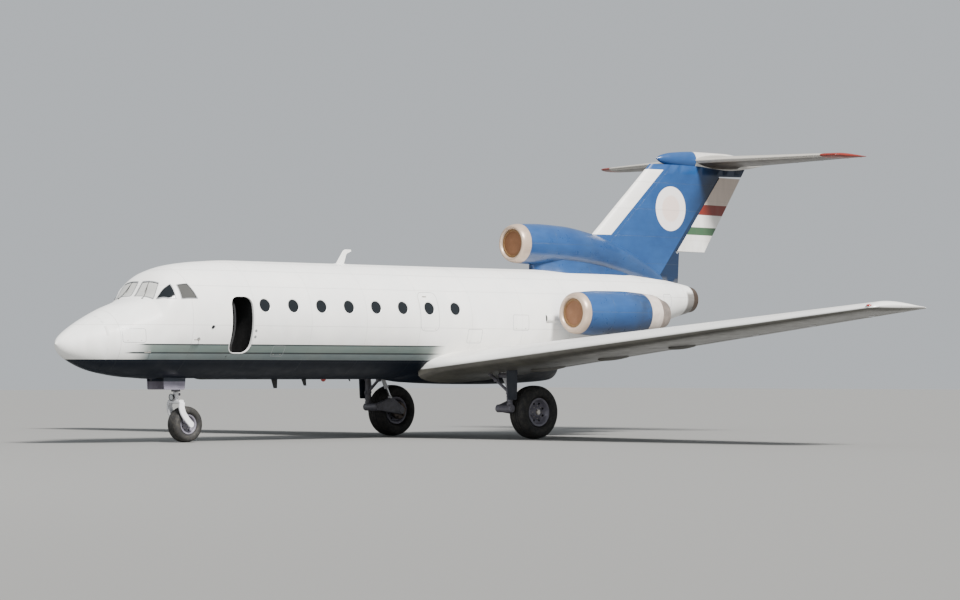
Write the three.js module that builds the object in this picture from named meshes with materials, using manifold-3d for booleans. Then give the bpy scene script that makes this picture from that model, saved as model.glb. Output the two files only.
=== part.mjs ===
// Three-engined straight-wing regional jet airliner, parked on its wheels with the crew door open.
// Lengths are in millimetres. x is the station aft of the nose tip, y is positive to starboard,
// z is the height above the ground. The last lines move the middle of the length to x = 0.
import * as THREE from "three";
import { mergeVertices } from "three/addons/utils/BufferGeometryUtils.js";
import Module from "manifold-3d";

const wasm = await Module();
wasm.setup();
const { Manifold, Mesh: SolidMesh } = wasm;

// Driving dimensions
const LENGTH = 20360;
const SPAN = 25000;
const HEIGHT = 6500;
const BODY_RADIUS = 1200;
const FIT = 0.4; // gap between two pieces that rest on each other
const PIN_FIT = 0.35; // radial clearance of a pin in its hole
const RUNNING_GAP = 7; // clearance round a moving panel

// Fuselage sections: station, top height, bottom height, half width, fullness of the upper half (2 is round)
const FUSELAGE = [
  [0, 1985, 1905, 40, 2],
  [150, 2125, 1725, 215, 2],
  [400, 2290, 1580, 390, 2],
  [800, 2500, 1430, 610, 2],
  [1200, 2670, 1350, 780, 2.1],
  [1600, 2800, 1300, 900, 2.35],
  [1850, 2900, 1285, 965, 2.6],
  [2070, 3210, 1270, 1010, 2.6],
  [2300, 3390, 1260, 1060, 2.5],
  [2750, 3530, 1250, 1130, 2.3],
  [3400, 3610, 1250, 1180, 2.1],
  [4200, 3650, 1250, BODY_RADIUS, 2],
  [11500, 3650, 1250, BODY_RADIUS, 2],
  [12500, 3655, 1300, 1185, 2],
  [13500, 3655, 1500, 1110, 2],
  [14500, 3650, 1800, 990, 2],
  [15500, 3625, 2120, 830, 2],
  [16500, 3550, 2420, 620, 2],
  [17200, 3460, 2650, 440, 2],
  [17600, 3400, 2740, 335, 2],
];
const RING_POINTS = 36;
const RADOME_END = 800;
const SKIN_DEPTH = 45;

// Wing
const WING_ROOT = { y: FIT, le: 8850, chord: 4000, z: 1400, thick: 0.15 };
const WING_TIP = { y: 12360, le: 9443, chord: 1627, z: 2590, thick: 0.12 };
const WING_CAP = { y: SPAN / 2, le: 9640, chord: 1250, z: 2620, thick: 0.05 };
const WING_CAMBER = 0.02;
const HINGE_AT = 0.75; // share of the chord
// Flaps and ailerons: span, and the corners cut off behind the nose as [side up or down, degrees]
const FLAP = { from: 1300, to: 7600, wedges: [[-1, 37]] };
const AILERON = { from: 7760, to: 12060, wedges: [[-1, 21], [1, 21]] };

// Tail
const FIN_BASE = { z: 3450, le: 13450, te: 17780, thick: 0.085 };
const FIN_TOP = { z: 6160, le: 16480, te: 19690, thick: 0.085 };
const RUDDER_HINGE = { low: [17270, 0, 4150], high: [18800, 0, 5990], top: 5930, bottomGap: 30 };
const TAILPLANE_ROOT = { y: 0, le: 17800, chord: 2540, z: 6290, thick: 0.09 };
const TAILPLANE_TIP = { y: 3650, le: 18600, chord: 1120, z: 6290, thick: 0.09 };
const TAILPLANE_CAP = { y: 3750, le: 18800, chord: 820, z: 6290, thick: 0.04 };
const ELEVATOR = { from: 215, to: 3560, hinge: [19400, 19300] };
// Bullet fairing sections: station, half height, half width
const BULLET = [
  [16700, 12, 10],
  [16850, 90, 75],
  [17200, 160, 130],
  [17900, 207, 165],
  [18900, 205, 160],
  [19700, 130, 100],
  [LENGTH, 14, 12],
];
const BULLET_Z = HEIGHT - 207;

// Engines
const ENGINE = { radius: 410, length: 1990 };
const SIDE_NACELLE = { x: 12150, y: 1850, z: 2670 };
const CENTRE_INTAKE = { x: 12100, y: 0, z: 4220 };
const TAIL_ENGINE = { x: 14950, y: 0, z: 3040 };
const TAIL_NOZZLE = { x: 17600, y: 0, z: 3070 };
// Side nacelle outline: distance aft of the intake face, outer radius
const NACELLE = [
  [170, 452],
  [700, 486],
  [1400, 492],
  [2000, 462],
  [2400, 432],
];
const INTAKE_RADIUS = 310;
const NOZZLE_RADIUS = 265;
// Centre duct sections: station, height of its axis, radius
const DUCT = [
  [12330, 4220, 432],
  [12900, 4215, 452],
  [13600, 4190, 450],
  [14400, 4100, 425],
  [15200, 3930, 390],
  [16000, 3700, 310],
  [16700, 3460, 200],
];

// Pylon sections: y, front, back, half height; its flat sides start and end this far from its edges
const PYLON = [
  { y: 900, front: 12500, back: 14600, half: 110 },
  { y: 1500, front: 12700, back: 14400, half: 90 },
];
const PYLON_TAPER = { front: 300, back: 500 };

// Doors
const CREW_DOOR = { from: 3420, to: 3947, low: 1780, high: 2895, gap: 6, leaf: 495 };
const CREW_HINGE = { x: CREW_DOOR.from + 6, y: -935 };
const VESTIBULE = { from: 3380, to: 4030, low: 1735, high: 2940, depth: -380 };
const AIRSTAIR = { from: 12875, to: 14960, half: 470, hingeX: 12920, hingeZ: 1410, thick: 110 };

// Landing gear
const MAIN_WHEEL = { x: 10620, y: 2260, radius: 560, half: 225, rim: 290, hub: 46 };
const NOSE_WHEEL = { x: 3150, y: 0, radius: 360, half: 155, rim: 190, hub: 26 };
const WHEEL_SIDES = 24;
const MAIN_LEG = { x: 9930, y: 2260, radius: 70, top: 1700, foot: 600 };
const MAIN_LEVER_Y = 1950;
const LEG_STRUT = { front: 50, back: 400, top: 1480, low: 800, radius: 46 };
const LEG_BRACKET = { z: 1330, radius: 50 };
const LEG_KNUCKLE = { z: 640, half: 80, radius: 85 };
const MAIN_DOOR = { outline: [[9780, 820], [10040, 820], [10060, 1560], [9740, 1560]], away: 30, half: 12 };
const SIDE_BRACE = { low: 960, topX: -60, topY: 1300, topZ: 1640, radius: 38 };
const STEER_X = 2920;
const STEER_PIN = 34;
const STEER_SIDES = 20;
const NOSE_BAY = { from: 2300, to: 3560, half: 245, top: 1760 };
const NOSE_STRUT = { top: NOSE_BAY.top - FIT, low: 1010, radius: 66, collar: 92 };
const NOSE_TRUNNION = { z: 1600, radius: 48 };
const NOSE_BRACE = { low: 1180, radius: 30 };
const NOSE_DOOR = { outline: [[2420, 1050], [2930, 1050], [2960, 1330], [2400, 1340]], away: 20, thick: 14 };
const FORK = { crown: [770, 850], arm: 200, armThick: 22, half: 60 };

// Solids from three.js geometry
function solid(geometry) {
  const bare = geometry.clone();
  bare.deleteAttribute("normal");
  bare.deleteAttribute("uv");
  const merged = mergeVertices(bare, 1e-3);
  const kept = [];
  const index = merged.index.array;
  for (let i = 0; i < index.length; i += 3) {
    const [a, b, c] = [index[i], index[i + 1], index[i + 2]];
    if (a !== b && b !== c && c !== a) kept.push(a, b, c);
  }
  const vertices = new Float32Array(merged.attributes.position.array);
  const build = (triangles) =>
    new Manifold(
      new SolidMesh({ numProp: 3, vertProperties: vertices, triVerts: new Uint32Array(triangles) }),
    );
  const made = build(kept);
  if (made.volume() > 0) return made;
  for (let i = 0; i < kept.length; i += 3) [kept[i + 1], kept[i + 2]] = [kept[i + 2], kept[i + 1]];
  return build(kept);
}

function join(...solids) {
  return solids.reduce((all, next) => all.add(next));
}

function cut(from, ...tools) {
  return tools.reduce((left, tool) => left.subtract(tool), from);
}

function box(x, y, z) {
  const geometry = new THREE.BoxGeometry(x[1] - x[0], y[1] - y[0], z[1] - z[0]);
  geometry.translate((x[0] + x[1]) / 2, (y[0] + y[1]) / 2, (z[0] + z[1]) / 2);
  return solid(geometry);
}

// Round bar or cone from point a to point b
function rod(a, b, radius, endRadius = radius, sides = 12) {
  const from = new THREE.Vector3(...a);
  const along = new THREE.Vector3(...b).sub(from);
  const geometry = new THREE.CylinderGeometry(endRadius, radius, along.length(), sides);
  geometry.translate(0, along.length() / 2, 0);
  const turn = new THREE.Quaternion().setFromUnitVectors(
    new THREE.Vector3(0, 1, 0),
    along.clone().normalize(),
  );
  geometry.applyQuaternion(turn);
  geometry.translate(from.x, from.y, from.z);
  return solid(geometry);
}

// Hole that a faceted pin of the given radius turns in
function bore(a, b, pinRadius, sides = 12) {
  const radius = (pinRadius + PIN_FIT) / Math.cos(Math.PI / sides);
  return rod(a, b, radius, radius, sides);
}

// Plate with an outline of [x, z] points, from y0 to y1
function plate(outline, y0, y1) {
  const shape = new THREE.Shape(outline.map(([x, z]) => new THREE.Vector2(x, z)));
  const geometry = new THREE.ExtrudeGeometry(shape, { depth: y1 - y0, bevelEnabled: false });
  geometry.rotateX(Math.PI / 2);
  geometry.translate(0, y1, 0);
  return solid(geometry);
}

// Turned piece with a profile of [along x, radius] points, about an axis along x
function turned(profile, at, sides = 24) {
  const points = profile.map(([along, radius]) => new THREE.Vector2(radius, along));
  const geometry = new THREE.LatheGeometry(points, sides);
  geometry.rotateZ(-Math.PI / 2);
  geometry.translate(at.x, at.y, at.z);
  return solid(geometry);
}

// Turned piece about an axis along y, with a flat facet at the bottom
function wheelPiece(profile, at) {
  const points = profile.map(([along, radius]) => new THREE.Vector2(radius, along));
  const geometry = new THREE.LatheGeometry(points, WHEEL_SIDES);
  geometry.rotateY(Math.PI / WHEEL_SIDES);
  geometry.translate(at.x, at.y, at.z);
  return solid(geometry);
}

// Body through rings of points, closed by flat ends
function loft(rings) {
  const count = rings[0].length;
  const positions = rings.flat(2);
  const indices = [];
  rings.slice(1).forEach((_, r) => {
    for (let i = 0; i < count; i++) {
      const [a, b] = [r * count + i, r * count + ((i + 1) % count)];
      indices.push(a, b, a + count, b, b + count, a + count);
    }
  });
  const last = (rings.length - 1) * count;
  for (let i = 1; i < count - 1; i++) {
    indices.push(0, i + 1, i, last, last + i, last + i + 1);
  }
  const geometry = new THREE.BufferGeometry();
  geometry.setAttribute("position", new THREE.Float32BufferAttribute(positions, 3));
  geometry.setIndex(indices);
  return solid(geometry);
}

function ellipseRing(x, z, halfWidth, halfHeight, count) {
  return Array.from({ length: count }, (_, i) => {
    const angle = (2 * Math.PI * (i + 0.5)) / count;
    return [x, halfWidth * Math.cos(angle), z + halfHeight * Math.sin(angle)];
  });
}

// Fuselage ring: its lower half is an ellipse, its upper half a fuller or equal curve
function fuselageRing([x, top, bottom, half, fullness], grow) {
  const middle = (top + bottom) / 2;
  const halfHeight = (top - bottom) / 2 + grow;
  const bend = (value, power) => Math.sign(value) * Math.abs(value) ** (2 / power);
  return Array.from({ length: RING_POINTS }, (_, i) => {
    const angle = (2 * Math.PI * (i + 0.5)) / RING_POINTS;
    const power = Math.sin(angle) > 0 ? fullness : 2;
    const y = (half + grow) * bend(Math.cos(angle), power);
    return [x, y, middle + halfHeight * bend(Math.sin(angle), power)];
  });
}

function fuselageBody(grow = 0) {
  return loft(FUSELAGE.map((section) => fuselageRing(section, grow)));
}

// Aerofoil: half thickness and camber at a share of the chord
function halfThickness(share, thick, chord) {
  const curve =
    0.2969 * Math.sqrt(share) -
    0.126 * share -
    0.3516 * share ** 2 +
    0.2843 * share ** 3 -
    0.1036 * share ** 4;
  const trailingEdge = 4;
  return 5 * thick * chord * curve + trailingEdge * share;
}

function camberAt(share, camber, chord) {
  const peak = 0.4;
  const scale = share < peak ? camber / peak ** 2 : camber / (1 - peak) ** 2;
  const offset = share < peak ? 0 : 1 - 2 * peak;
  return chord * scale * (offset + 2 * peak * share - share ** 2);
}

const CHORD_STEPS = 10;

function aerofoil(chord, thick, camber, grow) {
  const upper = [];
  const lower = [];
  for (let i = 0; i <= CHORD_STEPS; i++) {
    const share = (1 - Math.cos((Math.PI * i) / CHORD_STEPS)) / 2;
    const along = share * (chord + 2 * grow) - grow;
    const middle = camberAt(share, camber, chord);
    const half = halfThickness(share, thick, chord) + (i ? grow : 0);
    upper.push([along, middle + half]);
    if (i) lower.unshift([along, middle - half]);
  }
  return [...upper, ...lower];
}

// Ring of a wing or tailplane on one side of the aeroplane (side is -1 for port, 1 for starboard)
function wingRing(section, side, camber, grow = 0) {
  return aerofoil(section.chord, section.thick, camber, grow).map(([along, up]) => [
    section.le + along,
    side * section.y,
    section.z + up,
  ]);
}

function wingBody(side, grow = 0) {
  const inner = grow ? { ...WING_ROOT, y: -FIT } : WING_ROOT;
  return loft([inner, WING_TIP, WING_CAP].map((section) => wingRing(section, side, WING_CAMBER, grow)));
}

function between(a, b, y) {
  const share = (y - a.y) / (b.y - a.y);
  const mix = (key) => a[key] + share * (b[key] - a[key]);
  return { y, le: mix("le"), chord: mix("chord"), z: mix("z"), thick: mix("thick") };
}

// Hinge point of a wing surface: its place and the wing's half thickness there
function wingHinge(side, y) {
  const at = between(WING_ROOT, WING_TIP, y);
  const up = at.z + camberAt(HINGE_AT, WING_CAMBER, at.chord);
  const half = halfThickness(HINGE_AT, at.thick, at.chord);
  return { point: [at.le + HINGE_AT * at.chord, side * y, up], half };
}

// Box along a hinge line, from the line backwards
function behindHinge(a, b, startGap, endGap, depth, halfHeight) {
  const from = new THREE.Vector3(...a);
  const along = new THREE.Vector3(...b).sub(from);
  const span = along.length();
  along.normalize();
  const back = new THREE.Vector3(1, 0, 0).addScaledVector(along, -along.x).normalize();
  const up = new THREE.Vector3().crossVectors(along, back);
  const geometry = new THREE.BoxGeometry(span - startGap - endGap, depth, 2 * halfHeight);
  geometry.translate((span + startGap - endGap) / 2, depth / 2, 0);
  geometry.applyMatrix4(new THREE.Matrix4().makeBasis(along, back, up));
  geometry.translate(...a);
  return solid(geometry);
}

function onLine(a, b, distance) {
  const from = new THREE.Vector3(...a);
  const direction = new THREE.Vector3(...b).sub(from).normalize();
  return from.addScaledVector(direction, distance).toArray();
}

// Wedge behind a hinge line, from straight up (side 1) or down (side -1) to the given angle aft
function cornerWedge(a, b, side, degrees) {
  const reach = 400;
  const back = reach * Math.tan((degrees * Math.PI) / 180);
  const z = side * reach;
  const outline = [[0, 0], [0, z], [back, z]];
  const ring = (point) => outline.map(([x, up]) => [point[0] + x, point[1], point[2] + up]);
  const beyond = -60;
  return loft([ring(onLine(a, b, beyond)), ring(onLine(b, a, beyond))]);
}

// Splits a hinged surface off a wing or tail: the surface has a round nose about its hinge line,
// the fixed part a cove round it, and a pin at each end of the surface turns in the fixed part.
// The corners behind the round nose are cut off by the given wedges, so they clear the cove's edges.
function splitSurface(whole, [inner, outer], depth, wedges = []) {
  const [a, b] = [inner.point, outer.point];
  const [halfA, halfB] = [inner.half, outer.half];
  const span = new THREE.Vector3(...a).distanceTo(new THREE.Vector3(...b));
  const noseShare = 0.97;
  const pinRadius = 12;
  const [near, far] = [onLine(a, b, RUNNING_GAP), onLine(a, b, span - RUNNING_GAP)];
  const slab = behindHinge(a, b, RUNNING_GAP, RUNNING_GAP, depth, depth);
  const nose = rod(near, far, halfA * noseShare, halfB * noseShare, 16);
  const pinReach = 24;
  const pins = [
    rod(onLine(a, b, -pinReach), onLine(a, b, 2 * pinReach), pinRadius),
    rod(onLine(a, b, span - 2 * pinReach), onLine(a, b, span + pinReach), pinRadius),
  ];
  const holes = [
    bore(onLine(a, b, -pinReach - 1), onLine(a, b, pinReach), pinRadius),
    bore(onLine(a, b, span - pinReach), onLine(a, b, span + pinReach + 1), pinRadius),
  ];
  const cove = join(
    behindHinge(a, b, 0, 0, depth, depth),
    rod(a, b, halfA + RUNNING_GAP, halfB + RUNNING_GAP, 16),
  );
  const corners = wedges.map(([side, degrees]) => cornerWedge(a, b, side, degrees));
  const surface = join(cut(whole.intersect(slab), ...corners), nose, ...pins);
  return { surface, fixed: cut(whole, cove, ...holes) };
}

function wingWithSurfaces(side) {
  const parts = {};
  let fixed = wingBody(side);
  const depth = 1400;
  for (const [name, range] of Object.entries({ flap: FLAP, aileron: AILERON })) {
    const ends = [wingHinge(side, range.from), wingHinge(side, range.to)];
    const made = splitSurface(fixed, ends, depth, range.wedges);
    parts[name] = made.surface;
    fixed = made.fixed;
  }
  parts.wing = fixed;
  return parts;
}

function tailplaneParts() {
  const halves = [-1, 1].map((side) =>
    loft([TAILPLANE_ROOT, TAILPLANE_TIP, TAILPLANE_CAP].map((section) => wingRing(section, side, 0))),
  );
  const centreTail = [19470, LENGTH + 50];
  const halfCentre = ELEVATOR.from - 1;
  let fixed = cut(join(...halves), box(centreTail, [-halfCentre, halfCentre], [6000, 6600]));
  const surfaces = {};
  for (const [name, side] of [["left", -1], ["right", 1]]) {
    const ends = [ELEVATOR.from, ELEVATOR.to].map((y, i) => {
      const at = between(TAILPLANE_ROOT, TAILPLANE_TIP, y);
      const share = (ELEVATOR.hinge[i] - at.le) / at.chord;
      return {
        point: [ELEVATOR.hinge[i], side * y, at.z],
        half: halfThickness(share, at.thick, at.chord),
      };
    });
    const made = splitSurface(fixed, ends, 1300);
    surfaces[name] = made.surface;
    fixed = made.fixed;
  }
  return { fixed, surfaces };
}

function bulletBody(grow = 0) {
  return loft(
    BULLET.map(([x, halfHeight, halfWidth]) =>
      ellipseRing(x, BULLET_Z, halfWidth + grow, halfHeight + grow, 20),
    ),
  );
}

function finSection(section) {
  const chord = section.te - section.le;
  return aerofoil(chord, section.thick, 0, 0).map(([along, across]) => [
    section.le + along,
    across,
    section.z,
  ]);
}

function finHalfAt([x, , z]) {
  const share = (z - FIN_BASE.z) / (FIN_TOP.z - FIN_BASE.z);
  const le = FIN_BASE.le + share * (FIN_TOP.le - FIN_BASE.le);
  const te = FIN_BASE.te + share * (FIN_TOP.te - FIN_BASE.te);
  return halfThickness((x - le) / (te - le), FIN_BASE.thick, te - le);
}

// Point of the rudder's hinge line at a height
function rudderHingeAt(z) {
  const { low, high } = RUDDER_HINGE;
  return [low[0] + ((high[0] - low[0]) * (z - low[2])) / (high[2] - low[2]), 0, z];
}

// Everything behind the rudder's hinge line between two heights; the top may rise towards the tail
function behindRudderHinge(zLow, zHigh, zHighTail) {
  const outline = [
    [rudderHingeAt(zLow)[0], zLow],
    [LENGTH, zLow],
    [LENGTH, zHighTail],
    [rudderHingeAt(zHigh)[0], zHigh],
  ];
  return plate(outline, -300, 300);
}

function finParts() {
  const whole = loft([finSection(FIN_BASE), finSection(FIN_TOP)]);
  const { low, high, top, bottomGap } = RUDDER_HINGE;
  const [halfLow, halfHigh] = [finHalfAt(low), finHalfAt(high)];
  const coveTop = top + 30;
  const cove = join(
    behindRudderHinge(low[2], coveTop, coveTop + 30),
    rod(onLine(low, high, -10), rudderHingeAt(coveTop), halfLow + RUNNING_GAP, halfHigh + RUNNING_GAP, 16),
    box([low[0] + 90, LENGTH], [-400, 400], [FIN_BASE.z - 10, low[2] + 3]),
  );
  const nose = rod(onLine(low, high, 110), rudderHingeAt(top - 90), halfLow * 0.9, halfHigh * 0.9, 16);
  const pinRadius = 16;
  const inside = rudderHingeAt(top - 100);
  const pins = [
    rod(onLine(low, high, -70), onLine(low, high, 150), pinRadius),
    rod(inside, rudderHingeAt(top + 100), pinRadius),
  ];
  const holes = [
    bore(onLine(low, high, -71), onLine(low, high, 100), pinRadius),
    bore(inside, rudderHingeAt(top + 101), pinRadius),
  ];
  const blade = whole.intersect(behindRudderHinge(low[2] + bottomGap, top, top));
  return { rudder: join(blade, nose, ...pins), fin: cut(whole, cove, ...holes) };
}

function ductBody(grow = 0) {
  const pipe = loft(DUCT.map(([x, z, radius]) => ellipseRing(x, z, radius + grow, radius + grow, 24)));
  const skirt = plate(
    [[12700 - grow, 3500], [13050, 4000], [15900, 3600], [16500 + grow, 3380]],
    -250 - grow,
    250 + grow,
  );
  return join(pipe, skirt);
}

// Intake lip, blank and nozzle profiles: distance aft of the front face, radius
function intakeLip(at, depth, outer) {
  return turned(
    [
      [0, INTAKE_RADIUS + 48],
      [12, INTAKE_RADIUS + 74],
      [60, outer - 14],
      [depth, outer],
      [depth, INTAKE_RADIUS],
      [60, INTAKE_RADIUS],
      [12, INTAKE_RADIUS + 22],
      [0, INTAKE_RADIUS + 48],
    ],
    at,
  );
}

function intakeBlank(at) {
  const radius = INTAKE_RADIUS - FIT;
  return turned([[70, 0], [70, radius], [110, radius], [110, 0]], at);
}

function engineBlock(from, to, at) {
  return turned([[from, 0], [from, ENGINE.radius], [to, ENGINE.radius], [to, 0]], at);
}

function centreNozzle() {
  const profile = [
    [FIT, NOZZLE_RADIUS],
    [FIT, 318],
    [190, 290],
    [190, NOZZLE_RADIUS - 14],
    [FIT, NOZZLE_RADIUS],
  ];
  return turned(profile, TAIL_NOZZLE);
}

function sideNacelle(side) {
  const at = { ...SIDE_NACELLE, y: side * SIDE_NACELLE.y };
  const lipDepth = 170;
  const engineFrom = 380;
  const engineTo = engineFrom + ENGINE.length;
  const boreRadius = ENGINE.radius + FIT;
  const rear = NACELLE.at(-1)[0];
  const shell = turned(
    [
      [lipDepth + FIT, INTAKE_RADIUS],
      [lipDepth + FIT, NACELLE[0][1]],
      ...NACELLE.slice(1),
      [rear, boreRadius],
      [engineFrom, boreRadius],
      [engineFrom, INTAKE_RADIUS],
      [lipDepth + FIT, INTAKE_RADIUS],
    ],
    at,
  );
  const engine = engineBlock(engineFrom + FIT, engineTo, at);
  const nozzle = turned(
    [
      [rear + FIT, 350],
      [rear + FIT, 416],
      [2760, 312],
      [2760, NOZZLE_RADIUS],
      [rear + 120, 350],
      [rear + FIT, 350],
    ],
    at,
  );
  const lip = intakeLip(at, lipDepth, 450);
  return { shell, engine, nozzle, lip, blank: intakeBlank(at) };
}

function pylon(side) {
  const body = loft(
    PYLON.map(({ y, front, back, half }) => {
      const [from, to] = [front + PYLON_TAPER.front, back - PYLON_TAPER.back];
      const outline = [[front, 0], [from, half], [to, half], [back, 0], [to, -half], [from, -half]];
      return outline.map(([x, up]) => [x, side * y, SIDE_NACELLE.z + up]);
    }),
  );
  const outline = NACELLE.map(([along, radius]) => [along, radius + FIT]);
  const ends = [[outline[0][0], 0], ...outline, [outline.at(-1)[0], 0]];
  const nacelle = turned(ends, { ...SIDE_NACELLE, y: side * SIDE_NACELLE.y });
  return cut(body, nacelle);
}

// Tyre: rounded section about the rim; half is its half width
function tyre(wheel, side = 0) {
  const { half, rim } = wheel;
  const vertexRadius = wheel.radius / Math.cos(Math.PI / WHEEL_SIDES);
  const rise = vertexRadius - rim;
  const profile = [
    [-half * 0.72, rim + FIT],
    [-half, rim + rise * 0.42],
    [-half * 0.86, rim + rise * 0.84],
    [-half * 0.45, vertexRadius],
    [half * 0.45, vertexRadius],
    [half * 0.86, rim + rise * 0.84],
    [half, rim + rise * 0.42],
    [half * 0.72, rim + FIT],
    [-half * 0.72, rim + FIT],
  ];
  return wheelPiece(profile, { x: wheel.x, y: side * wheel.y, z: wheel.radius });
}

function rimPiece(wheel, side = 0) {
  const { half, rim, hub } = wheel;
  const holeRadius = (hub + PIN_FIT) / Math.cos(Math.PI / WHEEL_SIDES);
  const profile = [
    [-half * 0.72, rim * 0.86],
    [-half * 0.72, rim],
    [half * 0.72, rim],
    [half * 0.72, rim * 0.86],
    [half * 0.4, rim * 0.72],
    [half * 0.55, hub * 2],
    [half * 0.55, holeRadius],
    [-half * 0.55, holeRadius],
    [-half * 0.55, hub * 2],
    [-half * 0.4, rim * 0.72],
    [-half * 0.72, rim * 0.86],
  ];
  return wheelPiece(profile, { x: wheel.x, y: side * wheel.y, z: wheel.radius });
}

function axle(wheel, y0, y1) {
  const profile = [[0, 0], [0, wheel.hub], [y1 - y0, wheel.hub], [y1 - y0, 0]];
  return wheelPiece(profile, { x: wheel.x, y: y0, z: wheel.radius });
}

// Main gear: a leg in front of the tyre, a lever inboard of it that carries the axle, and a side brace
function mainLeg(side, grow = 0) {
  const { x, radius, top, foot } = MAIN_LEG;
  const y = side * MAIN_LEG.y;
  const leverY = side * MAIN_LEVER_Y;
  const strut = LEG_STRUT;
  const knuckle = LEG_KNUCKLE;
  const bracket = LEG_BRACKET;
  const [inner, outer] = [leverY - side * 60, y + side * knuckle.half];
  const bracketX = x + strut.front;
  const bars = [
    { from: [x, y, top], to: [x, y, foot], r: radius },
    { from: [bracketX, leverY, strut.top], to: [x + strut.back, leverY, strut.low], r: strut.radius },
    { from: [x, inner, knuckle.z], to: [x, outer, knuckle.z], r: knuckle.radius },
    { from: [bracketX, inner, bracket.z], to: [bracketX, y, bracket.z], r: bracket.radius },
  ];
  return join(
    ...bars.map(({ from, to, r }) =>
      rod(onLine(from, to, -grow), onLine(to, from, -grow), r + grow),
    ),
  );
}

function mainLever(side) {
  const y = side * MAIN_LEVER_Y;
  const { x, radius } = MAIN_WHEEL;
  const outline = [
    [MAIN_LEG.x + 20, 560],
    [x, radius - 85],
    [x + 90, radius],
    [x + 20, radius + 85],
    [MAIN_LEG.x + 450, 830],
    [MAIN_LEG.x + 350, 830],
    [MAIN_LEG.x + 20, 720],
  ];
  const arm = plate(outline, y - 50, y + 50);
  const outer = side * (MAIN_WHEEL.y + MAIN_WHEEL.half * 0.7);
  const ends = [y, outer].sort((a, b) => a - b);
  return join(arm, axle(MAIN_WHEEL, ...ends));
}

function mainDoor(side) {
  const { outline, away, half } = MAIN_DOOR;
  const y = side * (MAIN_LEG.y + MAIN_LEG.radius + away);
  const skin = plate(outline, y - half, y + half);
  const lugY = [side * (MAIN_LEG.y + 20), y].sort((a, b) => a - b);
  const lugX = [MAIN_LEG.x - 30, MAIN_LEG.x + 30];
  return join(skin, ...[900, 1200].map((z) => box(lugX, lugY, [z, z + 50])));
}

function sideBrace(side) {
  const { low, topX, topY, topZ, radius } = SIDE_BRACE;
  return rod([MAIN_LEG.x, side * MAIN_LEG.y, low], [MAIN_LEG.x + topX, side * topY, topZ], radius);
}

// Nose gear
function noseStrut() {
  const { top, low, radius, collar } = NOSE_STRUT;
  const reach = NOSE_BAY.half - FIT;
  const trunnionZ = NOSE_TRUNNION.z;
  return cut(
    join(
      rod([STEER_X, 0, low], [STEER_X, 0, top], radius),
      rod([STEER_X, -reach, trunnionZ], [STEER_X, reach, trunnionZ], NOSE_TRUNNION.radius),
      rod([STEER_X, 0, low], [STEER_X, 0, low + 90], collar),
    ),
    bore([STEER_X, 0, low - 1], [STEER_X, 0, low + 181], STEER_PIN, STEER_SIDES),
  );
}

function noseFork() {
  const { crown, arm: armY, armThick, half: crownHalf } = FORK;
  const collarTop = NOSE_STRUT.low - 6;
  const pinEnds = [[STEER_X, 0, collarTop - 90], [STEER_X, 0, NOSE_STRUT.low + 175]];
  const { x, radius, half } = NOSE_WHEEL;
  const [front, back] = [STEER_X - crownHalf, STEER_X + crownHalf];
  const arm = [
    [front, crown[1]],
    [front, crown[0] - 60],
    [x - 60, radius - 20],
    [x, radius - 55],
    [x + 55, radius],
    [x + 20, radius + 60],
    [back, crown[0]],
    [back, crown[1]],
  ];
  return join(
    rod(...pinEnds, STEER_PIN, STEER_PIN, STEER_SIDES),
    rod([STEER_X, 0, crown[0] + 20], [STEER_X, 0, collarTop], 56),
    box([front, back], [-armY, armY], crown),
    plate(arm, -armY - armThick, -half - 18),
    plate(arm, half + 18, armY + armThick),
    axle(NOSE_WHEEL, -armY, armY),
  );
}

function noseDragBrace() {
  const { low, radius } = NOSE_BRACE;
  const start = [STEER_X - 40, 0, low];
  const top = [NOSE_BAY.from + 160, 0, NOSE_BAY.top - 60];
  const reach = NOSE_BAY.half - FIT;
  return join(rod(start, top, radius), rod([top[0], -reach, top[2]], [top[0], reach, top[2]], radius));
}

function noseDoor(side) {
  const { outline, away, thick } = NOSE_DOOR;
  const y = side * (NOSE_BAY.half + away);
  return plate(outline, ...[y, y + side * thick].sort((a, b) => a - b));
}

// Crew door, built closed and then turned open about its vertical hinge
function crewDoorLeaf() {
  const { from, low, high, gap, leaf } = CREW_DOOR;
  const span = [from + gap, from + gap + leaf];
  const shell = cut(fuselageBody(), fuselageBody(-SKIN_DEPTH));
  const panel = shell.intersect(box(span, [-1400, -600], [low + gap, high - gap]));
  const armX = [CREW_HINGE.x + 1, CREW_HINGE.x + 45];
  const topArm = box(armX, [-1110, CREW_HINGE.y + 14], [high - 70, high - 30]);
  const lowArm = box(armX, [-1010, CREW_HINGE.y + 14], [low + 30, low + 70]);
  const pinX = CREW_HINGE.x + 16;
  const pins = [
    rod([pinX, CREW_HINGE.y, high - 60], [pinX, CREW_HINGE.y, VESTIBULE.high + 30], 12),
    rod([pinX, CREW_HINGE.y, VESTIBULE.low - 30], [pinX, CREW_HINGE.y, low + 60], 12),
  ];
  return join(panel, topArm, lowArm, ...pins);
}

function openCrewDoor() {
  const leaf = crewDoorLeaf();
  const [x, y] = [CREW_HINGE.x + 16, CREW_HINGE.y];
  return leaf.translate([-x, -y, 0]).rotate([0, 0, 90]).translate([x, y, 0]);
}

function crewDoorOpening() {
  const { from, to, low, high } = CREW_DOOR;
  const mouth = box([from, to], [-1400, -700], [low, high]);
  const { depth } = VESTIBULE;
  const hall = box([VESTIBULE.from, VESTIBULE.to], [-1400, depth], [VESTIBULE.low, VESTIBULE.high]);
  const x = CREW_HINGE.x + 16;
  const pins = bore([x, CREW_HINGE.y, VESTIBULE.low - 31], [x, CREW_HINGE.y, VESTIBULE.high + 31], 12);
  return join(mouth, hall.intersect(fuselageBody(-SKIN_DEPTH)), pins);
}

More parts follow.
